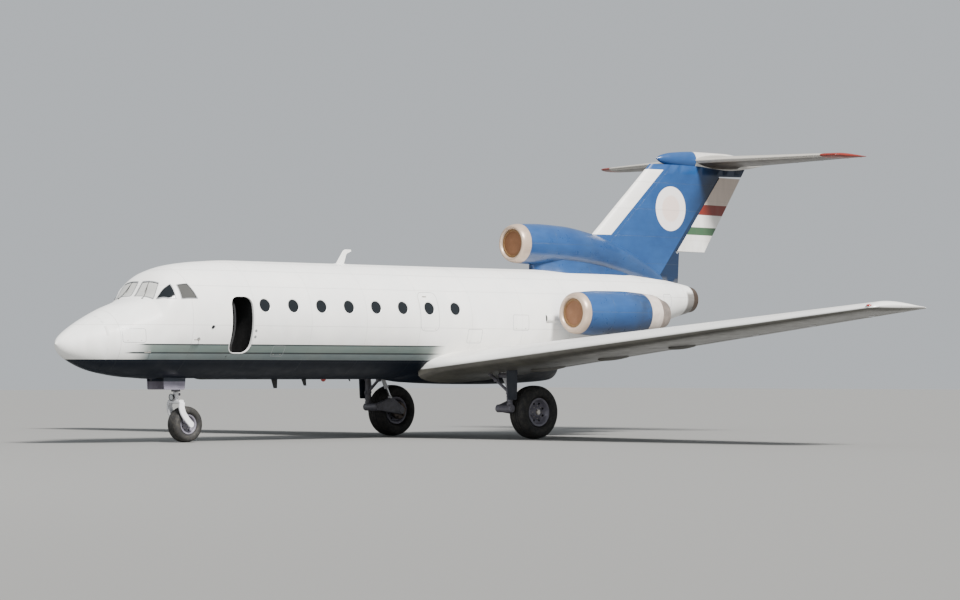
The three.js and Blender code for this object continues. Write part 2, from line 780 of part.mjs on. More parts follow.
// Ventral airstair: hinged across its front edge, its back edge drops
function airstairLeaf() {
  const { from, to, half, hingeX, hingeZ, thick } = AIRSTAIR;
  const side = half - RUNNING_GAP;
  const shell = cut(fuselageBody(), fuselageBody(-thick));
  const panel = shell.intersect(box([from + 30, to - RUNNING_GAP], [-side, side], [1000, 2300]));
  const notch = (y) => box([from, hingeX + 60], [y - 35, y + 35], [1000, 2000]);
  const pin = rod([hingeX, -300, hingeZ], [hingeX, 300, hingeZ], 12);
  return join(cut(panel, notch(-250), notch(250)), pin);
}

function airstairRecess() {
  const { from, to, half } = AIRSTAIR;
  return box([from, to], [-half, half], [1000, 2500]);
}

function airstairLugs() {
  const { from, hingeX, hingeZ } = AIRSTAIR;
  const lugs = [-250, 250].map((y) =>
    box([from - 20, hingeX + 24], [y - 25, y + 25], [hingeZ - 18, hingeZ + 60]),
  );
  return cut(join(...lugs), bore([hingeX, -300, hingeZ], [hingeX, 300, hingeZ], 12));
}

// Cockpit glazing band, seen from the side
const GLASS_DEPTH = 30;
const GLAZING_BAND = [[1850, 2840], [2780, 2840], [2560, 3130], [2080, 3190], [1990, 3190], [1850, 2900]];

function glazing() {
  return cut(fuselageBody(), fuselageBody(-GLASS_DEPTH)).intersect(plate(GLAZING_BAND, -1300, 1300));
}

function glazingRecess() {
  const shell = cut(fuselageBody(60), fuselageBody(-GLASS_DEPTH - FIT));
  const centre = [2250, 3010];
  const grown = GLAZING_BAND.map(([x, z]) => {
    const away = new THREE.Vector2(x - centre[0], z - centre[1]);
    away.setLength(away.length() + 1.2);
    return [centre[0] + away.x, centre[1] + away.y];
  });
  return shell.intersect(plate(grown, -1400, 1400));
}

// Roof blade antenna with a tip that bends back: its outline seen from the side, and half its thickness
const ANTENNA = {
  outline: [[7070, 3600], [7290, 3600], [7370, 3880], [7500, 3915], [7500, 3960], [7280, 3960]],
  half: 14,
};

function dorsalAntenna() {
  return cut(plate(ANTENNA.outline, -ANTENNA.half, ANTENNA.half), fuselageBody(FIT));
}

function fuselagePiece() {
  const boreRadius = ENGINE.radius + FIT;
  const tailBore = turned(
    [[-FIT, 0], [-FIT, boreRadius], [ENGINE.length + FIT, boreRadius], [ENGINE.length + FIT, 0]],
    TAIL_ENGINE,
  );
  const exhaust = rod(
    [TAIL_ENGINE.x + ENGINE.length - 10, 0, TAIL_ENGINE.z],
    [TAIL_NOZZLE.x + 10, 0, TAIL_NOZZLE.z],
    NOZZLE_RADIUS,
    NOZZLE_RADIUS,
    24,
  );
  const bay = box([NOSE_BAY.from, NOSE_BAY.to], [-NOSE_BAY.half, NOSE_BAY.half], [1000, NOSE_BAY.top]);
  const underWing = box([9080, 12350], [-1000, 1000], [1000, 1420]);
  const body = cut(
    fuselageBody(),
    box([-10, RADOME_END + FIT], [-1500, 1500], [0, 4000]),
    wingBody(-1, FIT),
    wingBody(1, FIT),
    underWing,
    crewDoorOpening(),
    airstairRecess(),
    bay,
    tailBore,
    exhaust,
    glazingRecess(),
  );
  return join(body, airstairLugs());
}

// Scene graph
const aircraft = new THREE.Group();
aircraft.position.x = -LENGTH / 2;

const paint = (color, roughness = 0.35, metalness = 0) => ({ color, roughness, metalness });
const FINISH = {
  white: paint(0xf2f2ee),
  blue: paint(0x4a7fb5),
  navy: paint(0x1c2740),
  metal: paint(0xb9b9b4, 0.3, 0.9),
  lip: paint(0xc9b898, 0.4, 0.7),
  blank: paint(0x7a4a2c, 0.7),
  dark: paint(0x2a2a2c, 0.6, 0.5),
  glass: paint(0x10151a, 0.08),
  rubber: paint(0x161616, 0.9),
  grey: paint(0x8f9498, 0.45),
};

function place(name, made, finish) {
  const { vertProperties, triVerts } = made.getMesh();
  const geometry = new THREE.BufferGeometry();
  geometry.setAttribute("position", new THREE.BufferAttribute(new Float32Array(vertProperties), 3));
  geometry.setIndex(new THREE.BufferAttribute(new Uint32Array(triVerts), 1));
  const mesh = new THREE.Mesh(geometry, new THREE.MeshStandardMaterial(FINISH[finish]));
  mesh.name = name;
  aircraft.add(mesh);
}

function placeBody() {
  const radomeSpace = box([-10, RADOME_END], [-1500, 1500], [0, 4000]);
  place("fuselage", fuselagePiece(), "white");
  place("nose_radome", fuselageBody().intersect(radomeSpace), "white");
  place("cockpit_glazing", glazing(), "glass");
  place("dorsal_antenna", dorsalAntenna(), "white");
  place("crew_door", openCrewDoor(), "white");
  place("ventral_airstair", airstairLeaf(), "white");
}

function placeWings() {
  for (const [name, side] of [["left", -1], ["right", 1]]) {
    const parts = wingWithSurfaces(side);
    place(`wing_${name}`, parts.wing, "white");
    place(`flap_${name}`, parts.flap, "white");
    place(`aileron_${name}`, parts.aileron, "white");
  }
}

function placeTail() {
  const body = fuselageBody(FIT);
  const { fin, rudder } = finParts();
  const tail = tailplaneParts();
  place("fin", cut(fin, ductBody(FIT), body, bulletBody(FIT)), "blue");
  place("rudder", rudder, "white");
  place("centre_duct", cut(ductBody(), body), "blue");
  const bulletSeat = box([17700, 19480], [-170, 170], [BULLET_Z - 140, BULLET_Z + 140]);
  place("fin_bullet", cut(bulletBody(), growTailplane().intersect(bulletSeat)), "blue");
  place("tailplane", tail.fixed, "grey");
  place("elevator_left", tail.surfaces.left, "grey");
  place("elevator_right", tail.surfaces.right, "grey");
}

function growTailplane() {
  const rootGrown = { ...TAILPLANE_ROOT, y: -200 };
  return loft([rootGrown, { ...TAILPLANE_ROOT, y: 200 }].map((s) => wingRing(s, 1, 0, FIT)));
}

function placeEngines() {
  const body = fuselageBody(FIT);
  for (const [name, side] of [["left", -1], ["right", 1]]) {
    const made = sideNacelle(side);
    place(`nacelle_${name}`, made.shell, "blue");
    place(`engine_${name}`, made.engine, "dark");
    place(`nozzle_${name}`, made.nozzle, "dark");
    place(`intake_lip_${name}`, made.lip, "lip");
    place(`intake_blank_${name}`, made.blank, "blank");
    place(`pylon_${name}`, cut(pylon(side), body), "white");
  }
  place("intake_lip_centre", intakeLip(CENTRE_INTAKE, 230 - FIT, 430), "lip");
  place("intake_blank_centre", intakeBlank(CENTRE_INTAKE), "blank");
  place("engine_centre", engineBlock(0, ENGINE.length, TAIL_ENGINE), "dark");
  place("nozzle_centre", centreNozzle(), "dark");
}

function placeGear() {
  for (const [name, side] of [["left", -1], ["right", 1]]) {
    const wing = wingBody(side, FIT);
    const grownLeg = mainLeg(side, FIT);
    place(`main_leg_${name}`, cut(mainLeg(side), wing), "metal");
    place(`main_lever_${name}`, cut(mainLever(side), grownLeg), "metal");
    place(`main_gear_door_${name}`, cut(mainDoor(side), wing, grownLeg), "white");
    place(`side_brace_${name}`, cut(sideBrace(side), wing, grownLeg), "metal");
    place(`main_rim_${name}`, rimPiece(MAIN_WHEEL, side), "metal");
    place(`main_tyre_${name}`, tyre(MAIN_WHEEL, side), "rubber");
    place(`nose_door_${name}`, cut(noseDoor(side), fuselageBody(FIT)), "navy");
  }
  const strut = noseStrut();
  place("nose_strut", strut, "metal");
  place("nose_fork", noseFork(), "metal");
  const clearOfStrut = rod([STEER_X, 0, 900], [STEER_X, 0, 1760], NOSE_STRUT.radius + FIT);
  place("nose_drag_brace", cut(noseDragBrace(), clearOfStrut), "metal");
  place("nose_rim", rimPiece(NOSE_WHEEL), "metal");
  place("nose_tyre", tyre(NOSE_WHEEL), "rubber");
}

placeBody();
placeWings();
placeTail();
placeEngines();
placeGear();

export default aircraft;
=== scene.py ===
import bisect
import math

import bmesh
import bpy
from mathutils import Matrix, Vector
from mathutils.bvhtree import BVHTree
from mathutils.interpolate import poly_3d_calc


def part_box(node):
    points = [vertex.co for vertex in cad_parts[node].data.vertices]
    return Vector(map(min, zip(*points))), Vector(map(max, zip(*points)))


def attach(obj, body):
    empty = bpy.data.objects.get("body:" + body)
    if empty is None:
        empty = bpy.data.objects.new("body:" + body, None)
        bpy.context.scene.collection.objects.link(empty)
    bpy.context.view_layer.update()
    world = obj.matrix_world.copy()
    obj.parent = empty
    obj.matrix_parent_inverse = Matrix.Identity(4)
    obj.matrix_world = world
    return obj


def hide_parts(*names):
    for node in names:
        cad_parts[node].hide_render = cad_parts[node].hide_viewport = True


# Three-engined straight-wing regional jet airliner, parked, with its crew door open.
# Lengths are in metres. A station is a distance aft of the nose tip.
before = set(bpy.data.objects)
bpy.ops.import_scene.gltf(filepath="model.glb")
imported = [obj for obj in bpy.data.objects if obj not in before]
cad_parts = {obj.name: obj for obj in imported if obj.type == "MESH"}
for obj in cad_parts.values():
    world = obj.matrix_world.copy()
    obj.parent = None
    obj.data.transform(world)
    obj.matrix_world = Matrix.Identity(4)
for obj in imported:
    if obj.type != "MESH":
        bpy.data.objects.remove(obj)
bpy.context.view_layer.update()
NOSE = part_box("nose_radome")[0].x
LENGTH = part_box("fin_bullet")[1].x - NOSE
HALF_LENGTH = LENGTH / 2
SIDES = (("left", -1), ("right", 1))

# Fuselage sections: station, top height, bottom height, half width, fullness of the upper half (2 is round)
FUSELAGE = (
    (0, 1.985, 1.905, 0.040, 2),
    (0.150, 2.125, 1.725, 0.215, 2),
    (0.400, 2.290, 1.580, 0.390, 2),
    (0.800, 2.500, 1.430, 0.610, 2),
    (1.200, 2.670, 1.350, 0.780, 2.1),
    (1.600, 2.800, 1.300, 0.900, 2.35),
    (1.850, 2.900, 1.285, 0.965, 2.6),
    (2.070, 3.210, 1.270, 1.010, 2.6),
    (2.300, 3.390, 1.260, 1.060, 2.5),
    (2.750, 3.530, 1.250, 1.130, 2.3),
    (3.400, 3.610, 1.250, 1.180, 2.1),
    (4.200, 3.650, 1.250, 1.200, 2),
    (11.500, 3.650, 1.250, 1.200, 2),
    (12.500, 3.655, 1.300, 1.185, 2),
    (13.500, 3.655, 1.500, 1.110, 2),
    (14.500, 3.650, 1.800, 0.990, 2),
    (15.500, 3.625, 2.120, 0.830, 2),
    (16.500, 3.550, 2.420, 0.620, 2),
    (17.200, 3.460, 2.650, 0.440, 2),
    (17.600, 3.400, 2.740, 0.335, 2),
)
RADOME_END = 0.8
# Length of the nose's round tip
TIP_LENGTH = 0.06
TAIL_END = 17.6
# Runs of rings of its mesh: start, end, steps; they are closest round the cockpit
RING_RUNS = ((RADOME_END + 0.0004, 1.40, 10), (1.42, 2.80, 69), (2.90, TAIL_END, 132))
HULL_RADIUS = 1.2
HULL_SIDES = 96

# Livery heights and edges
BELLY_TOP = 1.645
BAND_TOP = 1.95
BAND_LINE = 1.775
BAND_START = 1.45
BAND_END = 9.0

# Round cabin windows
WINDOWS = [4.25 + 0.734 * i for i in range(8)]
WINDOW_Z = 2.73
WINDOW_RADIUS = 0.15
# Small round window in front of the crew door: station, height, radius
PORT_HOLE = (2.97, 2.28, 0.045)

# Cockpit panes on one side: corners as (station, degrees up from the side)
PANES = {
    "front": ((1.840, 87.8), (2.035, 87.8), (2.070, 64.0), (1.895, 57.0)),
    "side": ((1.925, 51.5), (2.190, 48.5), (2.195, 26.5), (2.060, 33.5)),
    "last": ((2.306, 23.5), (2.304, 42.5), (2.506, 40.0), (2.635, 21.0)),
}
PANE_CORNER = 0.022
# Stations in front of the panes and behind them
COCKPIT = (1.3, 2.9)

# Crew door and its hall
DOOR = {"from": 3.420, "to": 3.947, "low": 1.780, "high": 2.895, "corner": 0.2}
LEAF = {"from": 3.426, "to": 3.921, "low": 1.786, "high": 2.889, "corner": 0.19, "thick": 0.045}
DOOR_HINGE = (3.442, -0.935)
HALL = {"from": 3.380, "to": 4.030, "low": 1.735, "high": 2.940, "depth": -0.380}
SKIN = 0.045
# Stations in front of the door and behind it
DOOR_ZONE = (3.2, 4.2)

# Ventral airstair: its recess, its hinge and the thickness of its leaf
STAIR = {"from": 12.875, "to": 14.960, "half": 0.470, "thick": 0.110}
STAIR_HINGE = (12.920, 1.410)
STAIR_TRAVEL = 55
STAIR_LUGS = (-0.25, 0.25)

# Nose wheel bay
BAY = {"from": 2.300, "to": 3.560, "half": 0.245, "top": 1.760}
# How far the pins across the bay reach to each side
BAY_REACH = BAY["half"] - 0.0006

# Wing sections: y, leading edge, chord, height, thickness as a share of the chord
WING_ROOT = {"y": 0.0004, "le": 8.850, "chord": 4.000, "z": 1.400, "thick": 0.15}
WING_TIP = {"y": 12.360, "le": 9.443, "chord": 1.627, "z": 2.590, "thick": 0.12}
WING_CAP = {"y": 12.500, "le": 9.640, "chord": 1.250, "z": 2.620, "thick": 0.05}
WING_CAMBER = 0.02
HINGE_AT = 0.75
FLAP = {"from": 1.300, "to": 7.600, "wedges": ((-1, 37),)}
AILERON = {"from": 7.760, "to": 12.060, "wedges": ((-1, 21), (1, 21))}
# Clearance round a hinged surface
GAP = 0.007

# Tail
FIN_BASE = {"z": 3.450, "le": 13.450, "te": 17.780}
FIN_TOP = {"z": 6.160, "le": 16.480, "te": 19.690}
FIN_THICK = 0.085
RUDDER_HINGE = ((17.270, 0, 4.150), (18.800, 0, 5.990))
RUDDER_TOP = 5.930
RUDDER_BOTTOM = 4.180
TAIL_Z = 6.290
TAIL_ROOT = {"y": 0, "le": 17.800, "chord": 2.540, "z": TAIL_Z, "thick": 0.09}
TAIL_TIP = {"y": 3.650, "le": 18.600, "chord": 1.120, "z": TAIL_Z, "thick": 0.09}
TAIL_CAP = {"y": 3.750, "le": 18.800, "chord": 0.820, "z": TAIL_Z, "thick": 0.04}
ELEVATOR = {"from": 0.215, "to": 3.560, "hinge": (19.400, 19.300)}
# Bullet fairing: station, half height, half width
BULLET = (
    (16.700, 0.012, 0.010),
    (16.850, 0.090, 0.075),
    (17.200, 0.160, 0.130),
    (17.900, 0.207, 0.165),
    (18.900, 0.205, 0.160),
    (19.700, 0.130, 0.100),
    (20.360, 0.014, 0.012),
)
BULLET_Z = 6.293

# Engines
SIDE_ENGINE = (12.150, 1.850, 2.670)
CENTRE_INTAKE = (12.100, 0, 4.220)
TAIL_NOZZLE = (17.600, 0, 3.070)
INTAKE_RADIUS = 0.310
NOZZLE_RADIUS = 0.265
# Radius of a side engine's tail pipe
PIPE_RADIUS = 0.352
# Side nacelle outline: distance aft of the intake's face, outer radius
NACELLE = ((0.170, 0.452), (0.700, 0.486), (1.400, 0.492), (2.000, 0.462), (2.400, 0.432))
# Pylon ends: y, front, back, half thickness
PYLON = ((0.85, 12.47, 14.63, 0.112), (1.56, 12.72, 14.38, 0.088))
# Air scoop in front of a pylon: station, height
SCOOP = (12.02, 2.56)
# Centre duct: station, height of its axis, radius
DUCT = (
    (12.330, 4.220, 0.432),
    (12.900, 4.215, 0.452),
    (13.600, 4.190, 0.450),
    (14.400, 4.100, 0.425),
    (15.200, 3.930, 0.390),
    (16.000, 3.700, 0.310),
    (16.700, 3.460, 0.200),
)
# Stations where the duct's skirt starts and ends
SKIRT = (12.70, 16.50)

# Landing gear
MAIN_WHEEL = {"x": 10.620, "y": 2.260, "radius": 0.560, "half": 0.225, "rim": 0.290, "hub": 0.046}
NOSE_WHEEL = {"x": 3.150, "y": 0, "radius": 0.360, "half": 0.155, "rim": 0.190, "hub": 0.026}
# Main leg: station, y, and the y of the lever beside the wheel
MAIN_LEG = (9.930, 2.260)
LEVER_Y = 1.950
STEER_X = 2.920
SPOKES = 8
# Grooves of a tyre as shares of its half width
GROOVES = (-0.42, -0.14, 0.14, 0.42)


# Meshes


def at(station, y, z):
    return Vector((NOSE + station, y, z))


def placed(name, data):
    """New object in the scene."""
    obj = bpy.data.objects.new(name, data)
    bpy.context.scene.collection.objects.link(obj)
    return obj


class Shape:
    """Closed surfaces that together make one piece."""

    def __init__(self):
        self.verts = []
        self.faces = []

    def add(self, verts, faces):
        first = len(self.verts)
        self.verts.extend(Vector(v) for v in verts)
        self.faces.extend(tuple(first + i for i in face) for face in faces)
        return self

    def loft(self, rings):
        """Body through rings of points; a ring of one point closes an end."""
        verts = [point for ring in rings for point in ring]
        faces = []
        start = 0
        for ring, following in zip(rings, rings[1:]):
            a, b = len(ring), len(following)
            for i in range(max(a, b)):
                near = (start + i % a, start + (i + 1) % a)
                far = (start + a + (i + 1) % b, start + a + i % b)
                faces.append(tuple(dict.fromkeys(near + far)))
            start += a
        if len(rings[0]) > 2:
            faces.append(tuple(reversed(range(len(rings[0])))))
        if len(rings[-1]) > 2:
            faces.append(tuple(range(start, start + len(rings[-1]))))
        return self.add(verts, faces)

    def hoop(self, rings):
        """Body through rings that lead back to the first one."""
        sides = len(rings[0])
        verts = [point for ring in rings for point in ring]
        faces = []
        for r in range(len(rings)):
            here, there = r * sides, (r + 1) % len(rings) * sides
            for i in range(sides):
                j = (i + 1) % sides
                faces.append((here + i, here + j, there + j, there + i))
        return self.add(verts, faces)

    def turned(self, profile, origin, axis=(1, 0, 0), sides=48):
        """Turned body with (along, radius) points; a profile that ends where it starts is a ring."""
        along = Vector(axis).normalized()
        across = along.orthogonal().normalized()
        up = along.cross(across)
        closed = profile[0] == profile[-1]
        rings = []
        for distance, radius in profile[: -1 if closed else None]:
            centre = Vector(origin) + along * distance
            count = 1 if radius < 1e-6 else sides
            angles = [2 * math.pi * i / sides for i in range(count)]
            rings.append([centre + radius * (math.cos(a) * across + math.sin(a) * up) for a in angles])
        return self.hoop(rings) if closed else self.loft(rings)

    def rod(self, a, b, radius, end=None, sides=24):
        a, b = Vector(a), Vector(b)
        length = (b - a).length
        end = radius if end is None else end
        return self.turned(((0, 0), (0, radius), (length, end), (length, 0)), a, b - a, sides)

    def bar(self, a, b, radius, chamfer=None, sides=24):
        """Rod with chamfered ends."""
        a, b = Vector(a), Vector(b)
        length = (b - a).length
        c = min(radius * 0.2, 0.006) if chamfer is None else chamfer
        return self.turned(band_profile(length, radius, c), a, b - a, sides)

    def pin(self, station, z, y0, y1, radius, chamfer=None, sides=24):
        """Bar across the aeroplane."""
        return self.bar(at(station, y0, z), at(station, y1, z), radius, chamfer, sides)

    def tube(self, points, radius, sides=12, steps=6):
        """Round hose or bent tube through points."""
        path = curve_through([Vector(p) for p in points], steps)
        normal = (path[1] - path[0]).orthogonal().normalized()
        rings = []
        for i, point in enumerate(path):
            tangent = (path[min(i + 1, len(path) - 1)] - path[max(i - 1, 0)]).normalized()
            normal = (normal - tangent * normal.dot(tangent)).normalized()
            side = tangent.cross(normal)
            angles = [2 * math.pi * k / sides for k in range(sides)]
            rings.append([point + radius * (math.cos(a) * normal + math.sin(a) * side) for a in angles])
        return self.loft(rings)

    def prism(self, outline, w0, w1, place, chamfer=0.0):
        """Plate: an outline of (u, v) points from w0 to w1, put in space by place(u, v, w)."""
        levels = [(w0, 0), (w1, 0)]
        if chamfer:
            small = inset(outline, chamfer)
            step = math.copysign(chamfer, w1 - w0)
            levels = [(w0, 1), (w0 + step, 0), (w1 - step, 0), (w1, 1)]
        rings = []
        for w, pulled in levels:
            points = small if pulled else outline
            rings.append([place(u, v, w) for u, v in points])
        return self.loft(rings)

    def box(self, low, high, chamfer=0.004):
        outline = ((low[0], low[1]), (high[0], low[1]), (high[0], high[1]), (low[0], high[1]))
        return self.prism(outline, low[2], high[2], lambda u, v, w: Vector((u, v, w)), chamfer)

    def ball(self, centre, radii, rings=12, sides=24):
        levels = []
        for i in range(rings + 1):
            up = math.pi * i / rings - math.pi / 2
            count = 1 if i in (0, rings) else sides
            level = []
            for k in range(count):
                turn = 2 * math.pi * k / sides
                x = radii[0] * math.cos(up) * math.cos(turn)
                y = radii[1] * math.cos(up) * math.sin(turn)
                level.append(Vector(centre) + Vector((x, y, radii[2] * math.sin(up))))
            levels.append(level)
        return self.loft(levels)

    def object(self, name, sharp=35):
        mesh = bpy.data.meshes.new(name)
        mesh.from_pydata(self.verts, [], self.faces)
        work = bmesh.new()
        work.from_mesh(mesh)
        bmesh.ops.recalc_face_normals(work, faces=work.faces)
        work.to_mesh(mesh)
        work.free()
        obj = placed(name, mesh)
        shade(obj, sharp)
        return obj


def band_profile(length, radius, c):
    """Section of a rod whose edges are chamfered by c."""
    return ((0, 0), (0, radius - c), (c, radius), (length - c, radius), (length, radius - c), (length, 0))


def shade(obj, sharp=35):
    obj.data.shade_smooth()
    obj.data.set_sharp_from_angle(angle=math.radians(sharp))


def curve_through(points, steps):
    """Catmull-Rom curve through points."""
    ends = [2 * points[0] - points[1], *points, 2 * points[-1] - points[-2]]
    path = []
    for i in range(1, len(ends) - 2):
        p0, p1, p2, p3 = ends[i - 1 : i + 3]
        for k in range(steps):
            t = k / steps
            path.append(
                0.5
                * (
                    2 * p1
                    + (p2 - p0) * t
                    + (2 * p0 - 5 * p1 + 4 * p2 - p3) * t**2
                    + (3 * p1 - p0 - 3 * p2 + p3) * t**3
                )
            )
    path.append(points[-1])
    return path


def inset(outline, distance):
    """Outline moved inwards by a distance; its points run anticlockwise or clockwise."""
    count = len(outline)
    area = sum(
        outline[i][0] * outline[(i + 1) % count][1] - outline[(i + 1) % count][0] * outline[i][1]
        for i in range(count)
    )
    turn = 1 if area > 0 else -1
    moved = []
    for i in range(count):
        before, here, after = (Vector(outline[j % count]) for j in (i - 1, i, i + 1))
        into = (here - before).normalized()
        out = (after - here).normalized()
        normal = Vector((-(into.y + out.y), into.x + out.x))
        scale = max(normal.length_squared / 2, 0.3)
        moved.append(tuple(here + normal * (turn * distance / scale)))
    return moved


def rounded(corners, radius, steps=6):
    """Outline with its corners rounded; radius is one value or one for each corner."""
    count = len(corners)
    radii = [radius] * count if isinstance(radius, (int, float)) else radius
    points = []
    for i in range(count):
        before, here, after = (Vector(corners[j % count]) for j in (i - 1, i, i + 1))
        to_before = (before - here).normalized()
        to_after = (after - here).normalized()
        half = to_before.angle(to_after) / 2
        reach = min(radii[i] / math.tan(half), (before - here).length / 2, (after - here).length / 2)
        start, end = here + to_before * reach, here + to_after * reach
        for k in range(steps + 1):
            t = k / steps
            points.append(tuple((1 - t) ** 2 * start + 2 * t * (1 - t) * here + t**2 * end))
    return points


def even(outline, pitch):
    """Outline with extra points on its long edges."""
    points = []
    for i, here in enumerate(outline):
        here, after = Vector(here), Vector(outline[(i + 1) % len(outline)])
        count = max(1, round((after - here).length / pitch))
        points.extend(tuple(here.lerp(after, k / count)) for k in range(count))
    return points


def across_y(u, v, w):
    """Place of a plate that is seen from the side: u is a station, v a height and w a y."""
    return at(u, w, v)


def carve(obj, tool, operation="DIFFERENCE"):
    """Cuts a tool out of a mesh, or joins or intersects them; the tool is used up."""
    modifier = obj.modifiers.new("carve", "BOOLEAN")
    modifier.operation = operation
    modifier.solver = "EXACT"
    modifier.material_mode = "TRANSFER"
    modifier.object = tool
    graph = bpy.context.evaluated_depsgraph_get()
    mesh = bpy.data.meshes.new_from_object(obj.evaluated_get(graph))
    obj.modifiers.clear()
    obj.data = mesh
    bpy.data.objects.remove(tool)
    return obj


def keep_smooth(obj, source):
    """Takes the source's normals where obj's faces lie on it, so that cuts don't mark the shading."""
    points = [v.co.copy() for v in source.vertices]
    normals = [v.normal.copy() for v in source.vertices]
    polygons = [tuple(p.vertices) for p in source.polygons]
    tree = BVHTree.FromPolygons(points, polygons)
    shade(obj)
    mesh = obj.data
    corners = [n.vector.copy() for n in mesh.corner_normals]
    for polygon in mesh.polygons:
        for loop in polygon.loop_indices:
            point = mesh.vertices[mesh.loops[loop].vertex_index].co
            place, normal, face, distance = tree.find_nearest(point)
            if distance > 2e-4 or normal.dot(polygon.normal) < 0.85:
                continue
            ring = [points[i] for i in polygons[face]]
            weights = poly_3d_calc(ring, place)
            smooth = sum((normals[i] * w for i, w in zip(polygons[face], weights)), Vector())
            corners[loop] = smooth.normalized()
    mesh.normals_split_custom_set(corners)
    return obj


def show(obj, body, material=None, replaces=()):
    """Puts a finished piece on its body, with its finish and the nodes that it stands for."""
    if material:
        obj.data.materials.clear()
        obj.data.materials.append(material)
    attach(obj, body)
    if replaces:
        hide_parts(*replaces)
    return obj


def part(shape, name, material, body="airframe", replaces=()):
    return show(shape.object(name), body, material, replaces)


def dressed(shape, name, material):
    """Tool or piece that already wears a material."""
    obj = shape.object(name)
    obj.data.materials.append(material)
    return obj


# Smooth tables


def table_curve(rows):
    """Smooth curves through a table's columns, as a function of its first column."""
    xs = [row[0] for row in rows]
    columns = list(zip(*(row[1:] for row in rows)))
    slopes = []
    for ys in columns:
        steps = [(ys[i + 1] - ys[i]) / (xs[i + 1] - xs[i]) for i in range(len(xs) - 1)]
        inner = [0 if a * b <= 0 else 2 * a * b / (a + b) for a, b in zip(steps, steps[1:])]
        slopes.append([steps[0], *inner, steps[-1]])

    def value(x):
        x = min(max(x, xs[0]), xs[-1])
        i = min(bisect.bisect_right(xs, x), len(xs) - 1) - 1
        h = xs[i + 1] - xs[i]
        t = (x - xs[i]) / h
        found = []
        for ys, ms in zip(columns, slopes):
            found.append(
                (2 * t**3 - 3 * t**2 + 1) * ys[i]
                + (t**3 - 2 * t**2 + t) * h * ms[i]
                + (3 * t**2 - 2 * t**3) * ys[i + 1]
                + (t**3 - t**2) * h * ms[i + 1]
            )
        return found

    return value


hull = table_curve(FUSELAGE)
duct = table_curve(DUCT)
nacelle = table_curve(NACELLE)
bullet = table_curve(BULLET)


def hull_point(station, angle, grow=0.0):
    """Point of the fuselage's skin; the angle is measured up from the starboard side."""
    top, bottom, half, fullness = hull(station)
    across, up = math.cos(angle), math.sin(angle)
    power = 2 / (fullness if up > 0 else 2)
    y = (half + grow) * math.copysign(abs(across) ** power, across)
    rise = ((top - bottom) / 2 + grow) * math.copysign(abs(up) ** power, up)
    return at(station, y, (top + bottom) / 2 + rise)


def on_hull(station, degrees, side=-1, out=0.0):
    """Point of the fuselage's skin; the angle is measured up from the side."""
    point = hull_point(station, math.radians(degrees), out)
    point.y *= side
    return point


def hull_angle(station, z):
    top, bottom, _, fullness = hull(station)
    share = max(-1, min(1, (z - (top + bottom) / 2) / ((top - bottom) / 2)))
    bent = math.copysign(abs(share) ** ((fullness if share > 0 else 2) / 2), share)
    return math.degrees(math.asin(bent))


def ellipse(station, z, half_width, half_height, count):
    angles = [2 * math.pi * (i + 0.5) / count for i in range(count)]
    return [at(station, half_width * math.cos(a), z + half_height * math.sin(a)) for a in angles]


def hull_rings(start, end, steps, grow=0.0):
    angles = [2 * math.pi * (i + 0.5) / HULL_SIDES for i in range(HULL_SIDES)]
    stations = [start + (end - start) * i / steps for i in range(steps + 1)]
    return [[hull_point(station, a, grow) for a in angles] for station in stations]


# Materials


